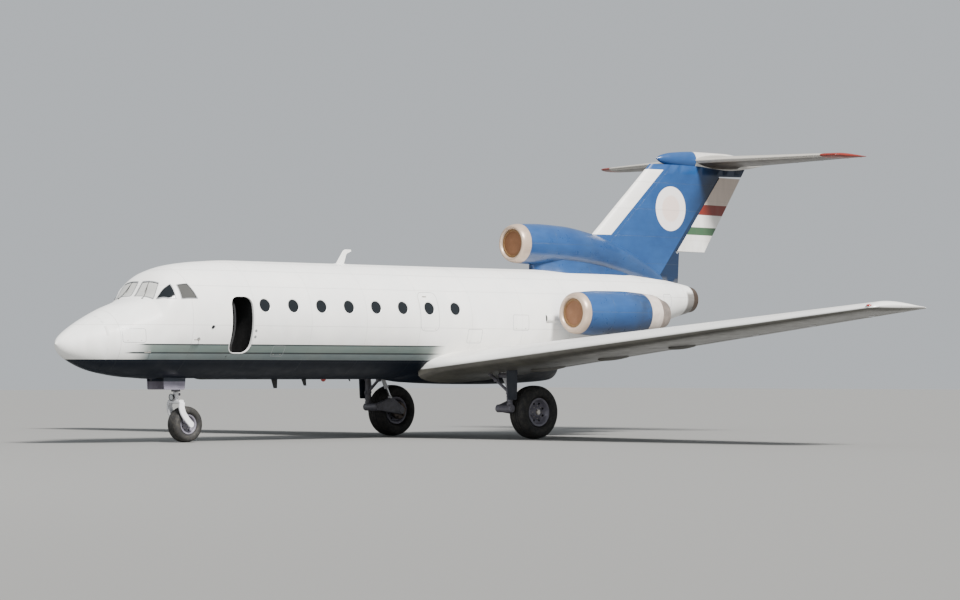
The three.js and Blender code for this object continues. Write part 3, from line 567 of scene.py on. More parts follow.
class Finish:
    """One material; place holds the object's own coordinates, in metres."""

    def __init__(self, name):
        self.material = bpy.data.materials.new(name)
        self.material.use_nodes = True
        self.tree = self.material.node_tree
        self.tree.nodes.clear()
        self.shader = self.node("ShaderNodeBsdfPrincipled")
        output = self.node("ShaderNodeOutputMaterial")
        self.tree.links.new(self.shader.outputs[0], output.inputs[0])
        self.place = self.node("ShaderNodeTexCoord").outputs["Object"]
        split = self.node("ShaderNodeSeparateXYZ")
        self.put(split.inputs[0], self.place)
        self.x, self.y, self.z = split.outputs
        self.station = self.math("SUBTRACT", self.x, NOSE)

    def node(self, kind):
        return self.tree.nodes.new(kind)

    def put(self, socket, value):
        if isinstance(value, bpy.types.NodeSocket):
            self.tree.links.new(value, socket)
        elif isinstance(value, tuple) and len(value) == 3 and len(socket.default_value) == 4:
            socket.default_value = (*value, 1)
        else:
            socket.default_value = value

    def math(self, operation, a, b=0.0):
        node = self.node("ShaderNodeMath")
        node.operation = operation
        self.put(node.inputs[0], a)
        self.put(node.inputs[1], b)
        return node.outputs[0]

    def add(self, a, b):
        return self.math("ADD", a, b)

    def sub(self, a, b):
        return self.math("SUBTRACT", a, b)

    def mul(self, *values):
        total = values[0]
        for value in values[1:]:
            total = self.math("MULTIPLY", total, value)
        return total

    def most(self, a, b):
        return self.math("MAXIMUM", a, b)

    def above(self, value, edge, soft=0.004):
        """0 below an edge, 1 above it."""
        node = self.node("ShaderNodeMapRange")
        node.interpolation_type = "SMOOTHSTEP"
        self.put(node.inputs[0], value)
        self.put(node.inputs[1], edge - soft)
        self.put(node.inputs[2], edge + soft)
        return node.outputs[0]

    def below(self, value, edge, soft=0.004):
        return self.sub(1.0, self.above(value, edge, soft))

    def within(self, value, low, high, soft=0.004):
        return self.mul(self.above(value, low, soft), self.below(value, high, soft))

    def away(self, value, where):
        return self.math("ABSOLUTE", self.sub(value, where))

    def line(self, value, where, width):
        return self.below(self.away(value, where), width / 2, 0.0015)

    def from_multiple(self, value, pitch, offset=0.0):
        """Distance from the nearest multiple of a pitch."""
        share = self.math("FRACT", self.math("DIVIDE", self.sub(value, offset - pitch / 2), pitch))
        return self.mul(self.math("ABSOLUTE", self.sub(share, 0.5)), pitch)

    def seams(self, value, pitch, width, offset=0.0):
        return self.below(self.from_multiple(value, pitch, offset), width / 2, 0.0012)

    def distance(self, a, b):
        return self.math("SQRT", self.add(self.mul(a, a), self.mul(b, b)))

    def rivets(self, along, across, pitch=0.045):
        """Two rows of round heads beside a seam; across is the distance from the seam."""
        far = self.distance(self.from_multiple(along, pitch), self.sub(across, 0.016))
        return self.below(far, 0.0045, 0.0015)

    def noise(self, scale, detail=3.0, stretch=(1, 1, 1)):
        mapping = self.node("ShaderNodeMapping")
        self.put(mapping.inputs["Vector"], self.place)
        mapping.inputs["Scale"].default_value = stretch
        node = self.node("ShaderNodeTexNoise")
        self.put(node.inputs["Vector"], mapping.outputs[0])
        node.inputs["Scale"].default_value = scale
        node.inputs["Detail"].default_value = detail
        node.inputs["Roughness"].default_value = 0.55
        return node.outputs["Fac"]

    def mix(self, share, a, b):
        node = self.node("ShaderNodeMix")
        node.data_type = "RGBA"
        self.put(node.inputs[0], share)
        self.put(node.inputs[6], a)
        self.put(node.inputs[7], b)
        return node.outputs[2]

    def tint(self, colour, share, strength, tone):
        return self.mix(self.mul(share, strength), colour, tone)

    def cloud(self, scale, detail=3.0, stretch=(1, 1, 1), low=0.0, high=1.0):
        """Noise stretched to a range."""
        node = self.node("ShaderNodeMapRange")
        self.put(node.inputs[0], self.noise(scale, detail, stretch))
        for socket, value in zip(node.inputs[1:5], (0.3, 0.7, low, high)):
            socket.default_value = value
        return node.outputs[0]

    def clouded(self, a, b, scale, detail=3.0, stretch=(1, 1, 1)):
        """Cloudy mix of two colours."""
        return self.mix(self.cloud(scale, detail, stretch), a, b)

    def relief(self, rows, joints, scale, share):
        """Height of a riveted skin: raised heads, sunk joints and shallow waves."""
        waves = self.mul(self.noise(scale, 1.0), share)
        return self.add(self.sub(self.mul(rows, 0.35), joints), waves)

    def finish(self, colour, rough, height=None, depth=0.002, metallic=0.0, coat=0.0, specular=0.5):
        sockets = self.shader.inputs
        self.put(sockets["Base Color"], colour)
        self.put(sockets["Roughness"], rough)
        self.put(sockets["Metallic"], metallic)
        sockets["Coat Weight"].default_value = coat
        sockets["Coat Roughness"].default_value = 0.12
        sockets["Specular IOR Level"].default_value = specular
        if height is not None:
            bump = self.node("ShaderNodeBump")
            bump.inputs["Distance"].default_value = depth
            bump.inputs["Strength"].default_value = 1.0
            self.put(bump.inputs["Height"], height)
            self.put(sockets["Normal"], bump.outputs[0])
        return self.material


WHITE = (0.90, 0.89, 0.86)
WARM_WHITE = (0.80, 0.78, 0.74)
NAVY = (0.004, 0.008, 0.017)
# BAND_GREY and LOWER_GREY are real stripe colours, darkened and tinted green as painted reflection of the
# ground
BAND_GREY = (0.155, 0.198, 0.182)
LINE_DARK = (0.035, 0.045, 0.050)
LOWER_GREY = (0.175, 0.215, 0.215)
BLUE = (0.011, 0.055, 0.180)
BLUE_LIGHT = (0.018, 0.075, 0.222)
BLUE_DARK = (0.004, 0.017, 0.050)
RED = (0.190, 0.016, 0.008)
GREEN = (0.040, 0.105, 0.050)
DIRT = (0.16, 0.13, 0.10)
# Wing underside: grey paint, darkened as painted shade
UNDER_GREY = (0.135, 0.130, 0.110)
UNDER_DARK = (0.085, 0.080, 0.070)


def skin_seams(f, arc, heights, stations):
    """Panel joints of a fuselage: rings every so often, lines along it, and the rivets beside them."""
    ring = f.seams(f.station, stations[0], 0.004, stations[1])
    lines = None
    rows = f.rivets(arc, f.from_multiple(f.station, stations[0], stations[1]))
    for height in heights:
        away = f.away(f.z, height)
        line = f.below(away, 0.002, 0.0012)
        lines = line if lines is None else f.most(lines, line)
        rows = f.most(rows, f.rivets(f.station, away))
    return f.most(ring, lines), rows


def hull_paint():
    f = Finish("hull_paint")
    white = f.clouded(WHITE, (0.82, 0.825, 0.81), 1.3)
    # Grey strip and grey band: real livery stripes, darkened and tinted green as painted reflection of the
    # ground
    lower = f.clouded(LOWER_GREY, (0.145, 0.180, 0.185), 2.2)
    band = f.clouded(BAND_GREY, (0.122, 0.160, 0.152), 2.6, stretch=(0.4, 1, 2))
    stripes = f.mix(f.above(f.z, BAND_LINE), lower, band)
    edge = f.mul(f.line(f.z, BAND_TOP - 0.012, 0.026), f.above(f.station, BAND_START, 0.1))
    middle = f.mul(f.line(f.z, BAND_LINE, 0.030), f.above(f.station, BAND_START - 0.25, 0.1))
    in_band = f.mul(
        f.within(f.z, BELLY_TOP, BAND_TOP),
        f.within(f.station, BAND_START, BAND_END, 0.25),
    )
    colour = f.mix(in_band, white, stripes)
    ends = f.below(f.station, BAND_END, 0.25)
    colour = f.mix(f.mul(f.most(edge, middle), ends), colour, LINE_DARK)
    arc = f.mul(f.math("ARCTAN2", f.sub(f.z, 2.45), f.y), HULL_RADIUS)
    joints, rows = skin_seams(f, arc, (1.60, 2.32, 3.10, 3.42, 3.60), (1.468, 3.98))
    streaks = f.cloud(7.0, 4, (0.35, 1, 0.12))
    grime = f.mul(streaks, f.below(f.z, 2.5, 0.9), 0.16)
    soot = f.mul(f.above(f.station, 14.6, 2.0), f.cloud(3.5, 3, (0.5, 1, 1)), 0.12)
    colour = f.mix(f.most(grime, soot), colour, DIRT)
    belly = f.tint(NAVY, streaks, 0.5, (0.008, 0.011, 0.016))
    colour = f.mix(f.below(f.z, BELLY_TOP), colour, belly)
    colour = f.tint(colour, joints, 0.42, (0.06, 0.06, 0.06))
    colour = f.tint(colour, rows, 0.10, (0.25, 0.25, 0.25))
    rough = f.add(f.cloud(5.0, low=0.26, high=0.40), f.mul(grime, 0.8))
    height = f.relief(rows, joints, 1.6, 1.6)
    burnt = f.mul(f.above(f.station, 17.30, 0.05), f.below(f.z, 3.22, 0.06))
    colour = f.tint(colour, burnt, 0.85, (0.08, 0.068, 0.06))
    return f.finish(colour, rough, height, 0.0022, coat=0.02, specular=0.13)


def wing_paint(name, le_share):
    """White wing skin with a bare metal leading edge; le_share is (leading edge at the centre, sweep)."""
    f = Finish(name)
    span = f.math("ABSOLUTE", f.y)
    aft = f.sub(f.station, f.add(le_share[0], f.mul(span, le_share[1])))
    white = f.clouded((0.83, 0.83, 0.81), WARM_WHITE, 1.1, stretch=(1, 0.5, 1))
    metal = f.below(aft, 0.17, 0.003)
    colour = f.mix(metal, white, (0.90, 0.90, 0.88))
    spars = f.most(f.line(aft, 0.17, 0.004), f.line(aft, 0.80, 0.004))
    ribs = f.seams(span, 1.18, 0.004, 0.35)
    joints = f.most(spars, f.mul(ribs, f.above(aft, 0.17)))
    rows = f.rivets(aft, f.from_multiple(span, 1.18, 0.35))
    rows = f.most(rows, f.rivets(span, f.away(aft, 0.80)))
    streaks = f.cloud(5.0, 4, (0.12, 1, 1))
    grime = f.mul(streaks, f.above(aft, 0.3, 1.4), 0.22)
    colour = f.mix(grime, colour, DIRT)
    rise = (WING_TIP["z"] - WING_ROOT["z"]) / WING_TIP["y"]
    chord_line = f.add(WING_ROOT["z"], f.mul(span, rise))
    # Underside: real grey paint, made darker and olive as painted shade and painted reflection of the
    # ground
    underside_grey_and_shade = f.clouded(UNDER_GREY, UNDER_DARK, 2.4, 4, (0.4, 1, 1))
    colour = f.mix(f.below(f.sub(f.z, chord_line), -0.006, 0.012), colour, underside_grey_and_shade)
    colour = f.tint(colour, joints, 0.45, (0.10, 0.10, 0.10))
    colour = f.tint(colour, rows, 0.12, (0.25, 0.25, 0.25))
    height = f.relief(rows, joints, 1.8, 1.2)
    rough = f.add(f.cloud(6.0, low=0.28, high=0.42), f.mul(grime, 0.6))
    return f.finish(colour, rough, height, 0.002, metallic=f.mul(metal, 0.2), coat=0.15)


def blue_skin(f):
    tone = f.clouded(BLUE, BLUE_LIGHT, 1.5, 3)
    return f.tint(tone, f.cloud(9.0, 4, (0.3, 1, 1)), 0.18, BLUE_DARK)


def fin_paint():
    """Blue fin with a white stripe along its leading edge and a plain white disc; painted shade darkens its
    upper rear under the tailplane and a strip along the rudder's hinge.
    """
    f = Finish("fin_paint")
    slope = (FIN_TOP["le"] - FIN_BASE["le"]) / (FIN_TOP["z"] - FIN_BASE["z"])
    leading = f.add(f.mul(f.sub(f.z, FIN_BASE["z"]), slope), FIN_BASE["le"])
    aft = f.sub(f.station, leading)
    hinge_slope = (RUDDER_HINGE[1][0] - RUDDER_HINGE[0][0]) / (RUDDER_HINGE[1][2] - RUDDER_HINGE[0][2])
    hinge = f.add(f.mul(f.sub(f.z, RUDDER_HINGE[0][2]), hinge_slope), RUDDER_HINGE[0][0])
    before_hinge = f.sub(hinge, f.station)
    colour = blue_skin(f)
    # Painted shadow of the tailplane on the fin's upper rear, and a dark strip of painted shade along the
    # hinge gap
    tailplane_shadow_top = f.mul(f.below(before_hinge, 0.50, 0.42), f.above(f.z, 5.0, 0.8), 0.92)
    colour = f.mix(tailplane_shadow_top, colour, (0.004, 0.012, 0.032))
    colour = f.mix(f.below(before_hinge, 0.13, 0.01), colour, BLUE_DARK)
    stripe = f.mul(f.below(aft, 0.47), f.within(f.z, 4.49, 6.03))
    white = f.clouded(WHITE, WARM_WHITE, 2.0)
    colour = f.mix(stripe, colour, white)
    away = f.distance(f.sub(f.station, 17.03), f.sub(f.z, 5.145))
    colour = f.mix(f.below(away, 0.51), colour, (0.84, 0.80, 0.79))
    colour = f.mix(f.below(away, 0.30, 0.03), colour, (0.80, 0.66, 0.60))
    ribs = f.seams(f.z, 0.62, 0.004, 0.15)
    spar = f.line(aft, 0.62, 0.004)
    joints = f.most(ribs, spar)
    rows = f.rivets(f.station, f.from_multiple(f.z, 0.62, 0.15))
    colour = f.tint(colour, joints, 0.5, (0.03, 0.04, 0.06))
    colour = f.tint(colour, rows, 0.15, (0.03, 0.05, 0.09))
    height = f.relief(rows, joints, 2.0, 1.2)
    return f.finish(colour, f.cloud(5.0, low=0.28, high=0.42), height, 0.002, coat=0.2)


def rudder_paint():
    f = Finish("rudder_paint")
    white = f.clouded(WHITE, WARM_WHITE, 2.0)
    # Tan above the red band: painted shade, standing in for the tailplane's shadow on the rudder's top
    colour = f.mix(f.above(f.z, 5.28, 0.01), white, (0.60, 0.50, 0.43))
    colour = f.mix(f.within(f.z, 5.04, 5.28), colour, RED)
    colour = f.mix(f.within(f.z, 4.57, 4.75), colour, GREEN)
    ribs = f.seams(f.z, 0.31, 0.004, 0.1)
    rows = f.rivets(f.station, f.from_multiple(f.z, 0.31, 0.1))
    grime = f.mul(f.cloud(6.0, 4, (1, 1, 0.2)), 0.15)
    colour = f.mix(grime, colour, DIRT)
    colour = f.tint(colour, ribs, 0.3, (0.15, 0.15, 0.15))
    height = f.sub(f.mul(rows, 0.35), ribs)
    return f.finish(colour, f.cloud(5.0, low=0.30, high=0.45), height, 0.0016, coat=0.15)


def tailplane_paint():
    """Pale grey above, dark brown below as painted shade, with red tips."""
    f = Finish("tailplane_paint")
    span = f.math("ABSOLUTE", f.y)
    top = f.clouded((0.44, 0.42, 0.38), (0.36, 0.34, 0.30), 1.5)
    # Dark brown underside: painted shade
    under = f.clouded((0.060, 0.047, 0.036), (0.038, 0.030, 0.024), 2.5, 4)
    colour = f.mix(f.above(f.z, TAIL_Z - 0.012, 0.010), under, top)
    leading = f.add(TAIL_ROOT["le"], f.mul(span, (TAIL_TIP["le"] - TAIL_ROOT["le"]) / TAIL_TIP["y"]))
    aft = f.sub(f.station, leading)
    colour = f.mix(f.below(aft, 0.10, 0.003), colour, (0.42, 0.40, 0.36))
    colour = f.mix(f.above(span, 3.33), colour, RED)
    ribs = f.seams(span, 0.58, 0.004, 0.1)
    joints = f.most(f.most(ribs, f.line(aft, 0.10, 0.004)), f.line(aft, 0.62, 0.004))
    rows = f.rivets(aft, f.from_multiple(span, 0.58, 0.1))
    colour = f.tint(colour, joints, 0.45, (0.08, 0.08, 0.08))
    height = f.relief(rows, joints, 2.0, 1.0)
    return f.finish(colour, f.cloud(5.0, low=0.32, high=0.48), height, 0.002, coat=0.1)


def bullet_paint():
    """Blue in front of the tailplane, pale grey behind it."""
    f = Finish("bullet_paint")
    pale = f.clouded((0.62, 0.61, 0.58), (0.54, 0.52, 0.49), 2.0)
    colour = f.mix(f.below(f.station, 17.86, 0.006), pale, blue_skin(f))
    joints = f.most(f.line(f.station, 17.86, 0.005), f.line(f.station, 19.45, 0.005))
    colour = f.tint(colour, joints, 0.6, (0.03, 0.04, 0.05))
    rows = f.rivets(f.z, f.away(f.station, 17.86), 0.04)
    height = f.sub(f.mul(rows, 0.35), joints)
    return f.finish(colour, f.cloud(5.0, low=0.28, high=0.42), height, 0.002, coat=0.2)


def cowl_paint(name, axis_z, seam_stations, axis_y=0.0, shade_and_soot=1.0, bare_from=99.0):
    """Blue cowl with panel rings, an underside darkened by painted shade in clouded smudges, soot towards
    the back and a bare metal end.
    """
    f = Finish(name)
    colour = blue_skin(f)
    below_axis = f.sub(axis_z, f.z)
    # Painted shade on the underside below the axis, clouded like oil smudges
    smudged_underside_shade = f.mul(f.cloud(4.0, 5, (0.25, 1, 1), low=0.2), f.above(below_axis, 0.20, 0.30), 0.85 * shade_and_soot)
    colour = f.mix(smudged_underside_shade, colour, (0.012, 0.022, 0.045))
    soot = f.mul(f.above(f.station, seam_stations[-1] - 0.42, 0.42), f.cloud(5.0, 4, low=0.3), 0.85 * shade_and_soot)
    colour = f.mix(soot, colour, (0.020, 0.028, 0.045))
    bare = f.clouded((0.66, 0.58, 0.52), (0.50, 0.43, 0.38), 7.0, 4)
    colour = f.mix(f.above(f.station, bare_from, 0.004), colour, bare)
    joints = None
    arc = f.mul(f.math("ARCTAN2", below_axis, f.sub(f.math("ABSOLUTE", f.y), axis_y)), 0.47)
    rows = None
    for station in seam_stations:
        ring = f.line(f.station, station, 0.005)
        row = f.rivets(arc, f.away(f.station, station), 0.04)
        joints = ring if joints is None else f.most(joints, ring)
        rows = row if rows is None else f.most(rows, row)
    split = f.mul(
        f.below(f.math("ABSOLUTE", f.add(below_axis, 0.02)), 0.0025, 0.001),
        f.within(f.station, seam_stations[0], seam_stations[-1]),
    )
    joints = f.most(joints, split)
    colour = f.tint(colour, joints, 0.6, (0.015, 0.03, 0.06))
    height = f.relief(rows, joints, 2.5, 1.0)
    return f.finish(colour, f.cloud(6.0, low=0.26, high=0.42), height, 0.002, coat=0.2)


def lip_metal():
    f = Finish("lip_metal")
    tone = f.clouded((0.52, 0.40, 0.31), (0.42, 0.32, 0.25), 3.0)
    colour = f.tint(tone, f.cloud(26.0, 4), 0.15, (0.35, 0.27, 0.20))
    rough = f.cloud(9.0, 4, low=0.30, high=0.48)
    return f.finish(colour, rough, f.noise(14.0, 2), 0.0006, metallic=0.25, coat=0.1)


def blank_cover():
    """Red-brown intake blank of stiff coated cloth on a ring."""
    f = Finish("blank_cover")
    tone = f.clouded((0.24, 0.105, 0.042), (0.18, 0.075, 0.028), 4.0, 4)
    weave = f.most(f.seams(f.y, 0.006, 0.002), f.seams(f.z, 0.006, 0.002))
    colour = f.tint(tone, weave, 0.25, (0.12, 0.05, 0.02))
    height = f.add(f.mul(weave, 0.3), f.mul(f.noise(6.0, 3), 2.0))
    return f.finish(colour, f.cloud(8.0, low=0.55, high=0.75), height, 0.0015)


def dark_steel(name="dark_steel", colour=(0.075, 0.065, 0.058)):
    f = Finish(name)
    tone = f.clouded(colour, tuple(1.9 * c for c in colour), 6.0, 5)
    tint = f.tint(tone, f.cloud(2.0), 0.35, (0.16, 0.09, 0.05))
    return f.finish(tint, f.cloud(14.0, 4, low=0.35, high=0.60), f.noise(40.0, 3), 0.0006, metallic=0.8)


def gear_paint():
    f = Finish("gear_paint")
    # Grey gear paint made near-black as painted shade under the wings and fuselage
    tone = f.clouded((0.15, 0.145, 0.17), (0.105, 0.10, 0.12), 5.0)
    grease = f.mul(f.above(f.noise(9.0, 5), 0.58, 0.08), 0.35)
    colour = f.mix(grease, tone, (0.08, 0.07, 0.06))
    return f.finish(colour, f.cloud(12.0, low=0.32, high=0.55), f.noise(30.0, 3), 0.0008, coat=0.1)


def plain(name, colour, rough, metallic=0.0, scale=20.0, contrast=0.75, coat=0.0):
    """Finish of a small piece: its colour clouds and its roughness varies."""
    f = Finish(name)
    darker = tuple(c * contrast for c in colour)
    tone = f.clouded(colour, darker, scale, 4)
    spread = f.cloud(scale * 1.7, 3, low=rough * 0.8, high=min(1.0, rough * 1.25))
    return f.finish(tone, spread, f.noise(scale * 3, 3), 0.0006, metallic=metallic, coat=coat)


def rubber():
    f = Finish("tyre_rubber")
    tone = f.clouded((0.012, 0.012, 0.013), (0.024, 0.023, 0.021), 6.0, 4)
    dust = f.mul(f.above(f.noise(16.0, 5), 0.55, 0.12), 0.14)
    colour = f.mix(dust, tone, (0.16, 0.14, 0.11))
    return f.finish(colour, f.cloud(30.0, 4, low=0.62, high=0.85), f.noise(90.0, 4), 0.001)


def nose_door_paint():
    """Navy above, lilac-grey along the lower part."""
    f = Finish("nose_door_paint")
    navy = f.clouded((0.012, 0.018, 0.034), (0.018, 0.027, 0.045), 5.0)
    grey = f.clouded((0.30, 0.28, 0.35), (0.22, 0.20, 0.26), 9.0)
    colour = f.mix(f.below(f.z, 1.215, 0.012), navy, grey)
    return f.finish(colour, f.cloud(12.0, low=0.32, high=0.48), f.noise(30.0, 3), 0.0006)


def glass_finish(name, colour):
    f = Finish(name)
    tone = f.clouded(colour, tuple(c * 1.25 for c in colour), 2.0)
    return f.finish(tone, f.cloud(12.0, 4, low=0.05, high=0.11), coat=0.1, specular=0.3)


HULL = hull_paint()
WING = wing_paint("wing_paint", (WING_ROOT["le"], (WING_TIP["le"] - WING_ROOT["le"]) / WING_TIP["y"]))
FIN = fin_paint()
RUDDER = rudder_paint()
TAILPLANE = tailplane_paint()
BULLET_PAINT = bullet_paint()
DUCT_PAINT = cowl_paint("duct_paint", 4.2, (12.35, 13.1, 14.2), shade_and_soot=0.35)
COWL_SEAMS = (12.33, 13.0, 13.85, 14.18)
NACELLE_PAINT = cowl_paint("nacelle_paint", SIDE_ENGINE[2], COWL_SEAMS, SIDE_ENGINE[1], 1.0, COWL_SEAMS[-1])
LIP = lip_metal()
BLANK = blank_cover()
STEEL = dark_steel()
PALE_STEEL = dark_steel("pale_steel", (0.34, 0.29, 0.26))
GEAR = gear_paint()
WHITE_GEAR = plain("white_gear", (0.78, 0.78, 0.80), 0.35, scale=8.0, contrast=0.85, coat=0.2)
CHROME = plain("chrome", (0.80, 0.80, 0.80), 0.10, 1.0, scale=30.0, contrast=0.92)
RUBBER = rubber()
RIM = plain("rim_paint", (0.21, 0.20, 0.24), 0.42, 0.2, scale=14.0)
GLASS = glass_finish("dark_glass", (0.008, 0.010, 0.012))
# Near-black faces inside the crew door's hall and the coves behind hinged surfaces: painted shade
DARK = plain("dark_inside", (0.014, 0.014, 0.015), 0.75, scale=5.0)
PRIMER = plain("bay_primer", (0.085, 0.095, 0.085), 0.6, scale=7.0)
FRAME = plain("frame_grey", (0.30, 0.31, 0.32), 0.40, 0.2, scale=18.0)
TRIM = plain("white_trim", (0.84, 0.84, 0.82), 0.30, scale=10.0, contrast=0.94, coat=0.2)
BLACK = plain("black_plastic", (0.02, 0.02, 0.021), 0.5, scale=16.0)
BRASS = plain("bare_metal", (0.62, 0.58, 0.52), 0.30, 0.9, scale=24.0)
RED_LENS = plain("red_lens", (0.45, 0.02, 0.015), 0.12, scale=20.0, coat=0.8)
GREEN_LENS = plain("green_lens", (0.02, 0.30, 0.10), 0.12, scale=20.0, coat=0.8)
CLEAR_LENS = plain("clear_lens", (0.62, 0.64, 0.66), 0.08, 0.2, scale=20.0, coat=0.8)
# Main gear doors' near-black navy: painted shade under the wings
NAVY_DOOR_SHADE = plain("navy_paint", (0.012, 0.018, 0.034), 0.40, scale=5.0)
NOSE_DOOR_PAINT = nose_door_paint()
PYLON_PAINT = plain("pylon_paint", (0.80, 0.80, 0.79), 0.34, scale=3.0, contrast=0.88, coat=0.15)
COVER_RIM = plain("cover_rim", (0.20, 0.105, 0.035), 0.6, scale=10.0)
# The front panes' pale grey is painted reflection of the sky
PANE_GLASS = {
    "front": glass_finish("pale_pane", (0.46, 0.46, 0.44)),
    "side": GLASS,
    "last": glass_finish("grey_pane", (0.065, 0.065, 0.062)),
}


# Fuselage


def hull_disc(shape, profile, station, degrees, side, sides=40):
    """Turned profile of (outward, radius) points that follows the fuselage's skin."""
    closed = profile[0] == profile[-1]
    rings = []
    for out, radius in profile[: -1 if closed else None]:
        count = 1 if radius < 1e-6 else sides
        ring = []
        for k in range(count):
            a = 2 * math.pi * k / sides
            turn = math.degrees(radius * math.sin(a) / HULL_RADIUS)
            ring.append(on_hull(station + radius * math.cos(a), degrees + turn, side, out))
        rings.append(ring)
    return shape.hoop(rings) if closed else shape.loft(rings)


def hull_band(shape, outline, side, levels):
    """Band round an outline of (station, z) points; levels are (outward, how far the outline grows)."""
    rings = []
    for out, grow in levels:
        rings.append([on_hull(s, hull_angle(s, z), side, out) for s, z in inset(outline, -grow)])
    return shape.hoop(rings)


def pane_outline(name, grow=0.0):
    """Rounded outline of a cockpit pane as (station, degrees), grown by a length in metres."""
    scale = math.radians(1)
    grown = inset([(s, d * scale) for s, d in PANES[name]], -grow)
    return [(s, d / scale) for s, d in even(rounded(grown, PANE_CORNER), 0.02)]


def pane_prism(shape, name, side, low, high, grow=0.0):
    outline = pane_outline(name, grow)
    return shape.loft([[on_hull(s, d, side, out) for s, d in outline] for out in (low, high)])


def pane_frame(shape, name, side):
    """Thin raised frame round a cockpit pane."""
    inner, outer = pane_outline(name), pane_outline(name, 0.016)
    levels = ((inner, -0.012), (inner, 0.004), (outer, 0.004), (outer, -0.012))
    return shape.hoop([[on_hull(s, d, side, out) for s, d in outline] for outline, out in levels])


def hull_shell(name, start, end, outer, inner):
    """Shell between two grown copies of the fuselage."""
    shell = Shape().loft(hull_rings(start, end, 60, grow=outer)).object(name)
    core = Shape().loft(hull_rings(start - 0.02, end + 0.02, 60, grow=inner)).object(name)
    return carve(shell, core)


def in_shell(tool, start, end, outer, inner):
    """What of a tool lies in a shell of the fuselage."""
    return carve(tool, hull_shell("shell", start, end, outer, inner), "INTERSECT")


def join_tools(tools, name):
    """One mesh from several tools that don't touch each other."""
    mesh = bmesh.new()
    materials = []
    for tool in tools:
        first = len(mesh.faces)
        mesh.from_mesh(tool.data)
        mesh.faces.ensure_lookup_table()
        material = tool.data.materials[0]
        if material not in materials:
            materials.append(material)
        for face in mesh.faces[first:]:
            face.material_index = materials.index(material)
        bpy.data.objects.remove(tool)
    data = bpy.data.meshes.new(name)
    mesh.to_mesh(data)
    mesh.free()
    for material in materials:
        data.materials.append(material)
    return placed(name, data)


def rectangle(a, b, low, high):
    return ((a, low), (b, low), (b, high), (a, high))


def door_outline(door):
    corners = rectangle(door["from"], door["to"], door["low"], door["high"])
    return rounded(corners, door["corner"], 8)


def window_angle():
    return hull_angle(6.0, WINDOW_Z)


def pocket_profile(radius, depth):
    return ((0.03, 0), (0.03, radius), (-depth, radius), (-depth, 0))


def window_pockets(side):
    pockets = Shape()
    for station in WINDOWS:
        hull_disc(pockets, pocket_profile(WINDOW_RADIUS, 0.020), station, window_angle(), side)
    if side < 0:
        station, z, radius = PORT_HOLE
        hull_disc(pockets, pocket_profile(radius, 0.016), station, hull_angle(station, z), side, 24)
    return pockets


def pane_pockets():
    prisms = Shape()
    for _, side in SIDES:
        for name in PANES:
            pane_prism(prisms, name, side, -0.08, 0.08)
    tool = dressed(prisms, "pane_pockets", BLACK)
    return in_shell(tool, *COCKPIT, 0.05, -0.030)


def hall_tool():
    """Hall behind the crew door, inside the skin."""
    outline = rectangle(HALL["from"], HALL["to"], HALL["low"], HALL["high"])
    # The hall's walls take the near-black painted shade
    hall = dressed(Shape().prism(outline, -1.4, HALL["depth"], across_y), "hall", DARK)
    inner = Shape().loft(hull_rings(*DOOR_ZONE, 12, grow=-SKIN)).object("inner")
    return carve(hall, inner, "INTERSECT")


def box_tool(name, stations, half, heights, material):
    low = at(stations[0], -half, heights[0])
    high = at(stations[1], half, heights[1])
    return dressed(Shape().box(low, high, 0), name, material)


def make_fuselage():
    rings = [ring for run in RING_RUNS for ring in hull_rings(*run)]
    body = dressed(Shape().loft(rings), "fuselage_skin", HULL)
    whole = body.data.copy()
    mouth = Shape().prism(door_outline(DOOR), -1.4, -0.7, across_y)
    tail_pipe = Shape().rod(at(14.9, 0, 3.03), at(17.7, 0, 3.07), 0.262, sides=48)
    tools = [dressed(window_pockets(side), "window_pockets", BLACK) for _, side in SIDES]
    tools.append(pane_pockets())
    tools.append(dressed(tail_pipe, "tail_pipe", STEEL))
    tools.append(box_tool("bay", (BAY["from"], BAY["to"]), BAY["half"], (1.0, BAY["top"]), PRIMER))
    well = (STAIR["from"], STAIR["to"])
    tools.append(box_tool("stairwell", well, STAIR["half"], (1.0, 2.5), PRIMER))
    carve(body, join_tools(tools, "openings"))
    carve(body, carve(hall_tool(), dressed(mouth, "mouth", TRIM), "UNION"))
    keep_smooth(body, whole)
    return show(body, "airframe", replaces=("fuselage",))


def make_radome():
    """Nose cone with a round tip."""
    tip = (FUSELAGE[0][1] + FUSELAGE[0][2]) / 2
    rings = [[at(0, 0, tip)]]
    steps = 24
    for i in range(1, steps + 1):
        station = RADOME_END * (1 - math.cos(math.pi / 2 * i / steps))
        top, bottom, half, _ = hull(station)
        ease = math.sqrt(min(1, station / TIP_LENGTH))
        low, high = (bottom - tip) * ease + tip, (top - tip) * ease + tip
        rings.append(ellipse(station, (low + high) / 2, half * ease, (high - low) / 2, HULL_SIDES))
    nose = Shape().loft(rings)
    return part(nose, "nose_cone", HULL, replaces=("nose_radome",))


def make_glazing():
    for name, material in PANE_GLASS.items():
        prisms = Shape()
        for _, side in SIDES:
            pane_prism(prisms, name, side, -0.06, 0.06, -0.002)
        glass = in_shell(dressed(prisms, f"{name}_panes", material), *COCKPIT, -0.008, -0.020)
        shade(glass, 30)
        nodes = ("cockpit_glazing",) if name == "front" else ()
        show(glass, "airframe", replaces=nodes)
    frames = Shape()
    for _, side in SIDES:
        for name in PANES:
            pane_frame(frames, name, side)
    part(frames, "cockpit_frames", FRAME)


# Sections of a cabin window's pane and ring: outward, radius
WINDOW_PANE = ((-0.018, 0), (-0.018, 0.138), (-0.010, 0.138), (-0.009, 0))
WINDOW_RING = (
    (-0.018, 0.134),
    (-0.004, 0.136),
    (0.003, 0.146),
    (0.004, 0.156),
    (0.001, 0.168),
    (-0.010, 0.168),
    (-0.018, 0.134),
)


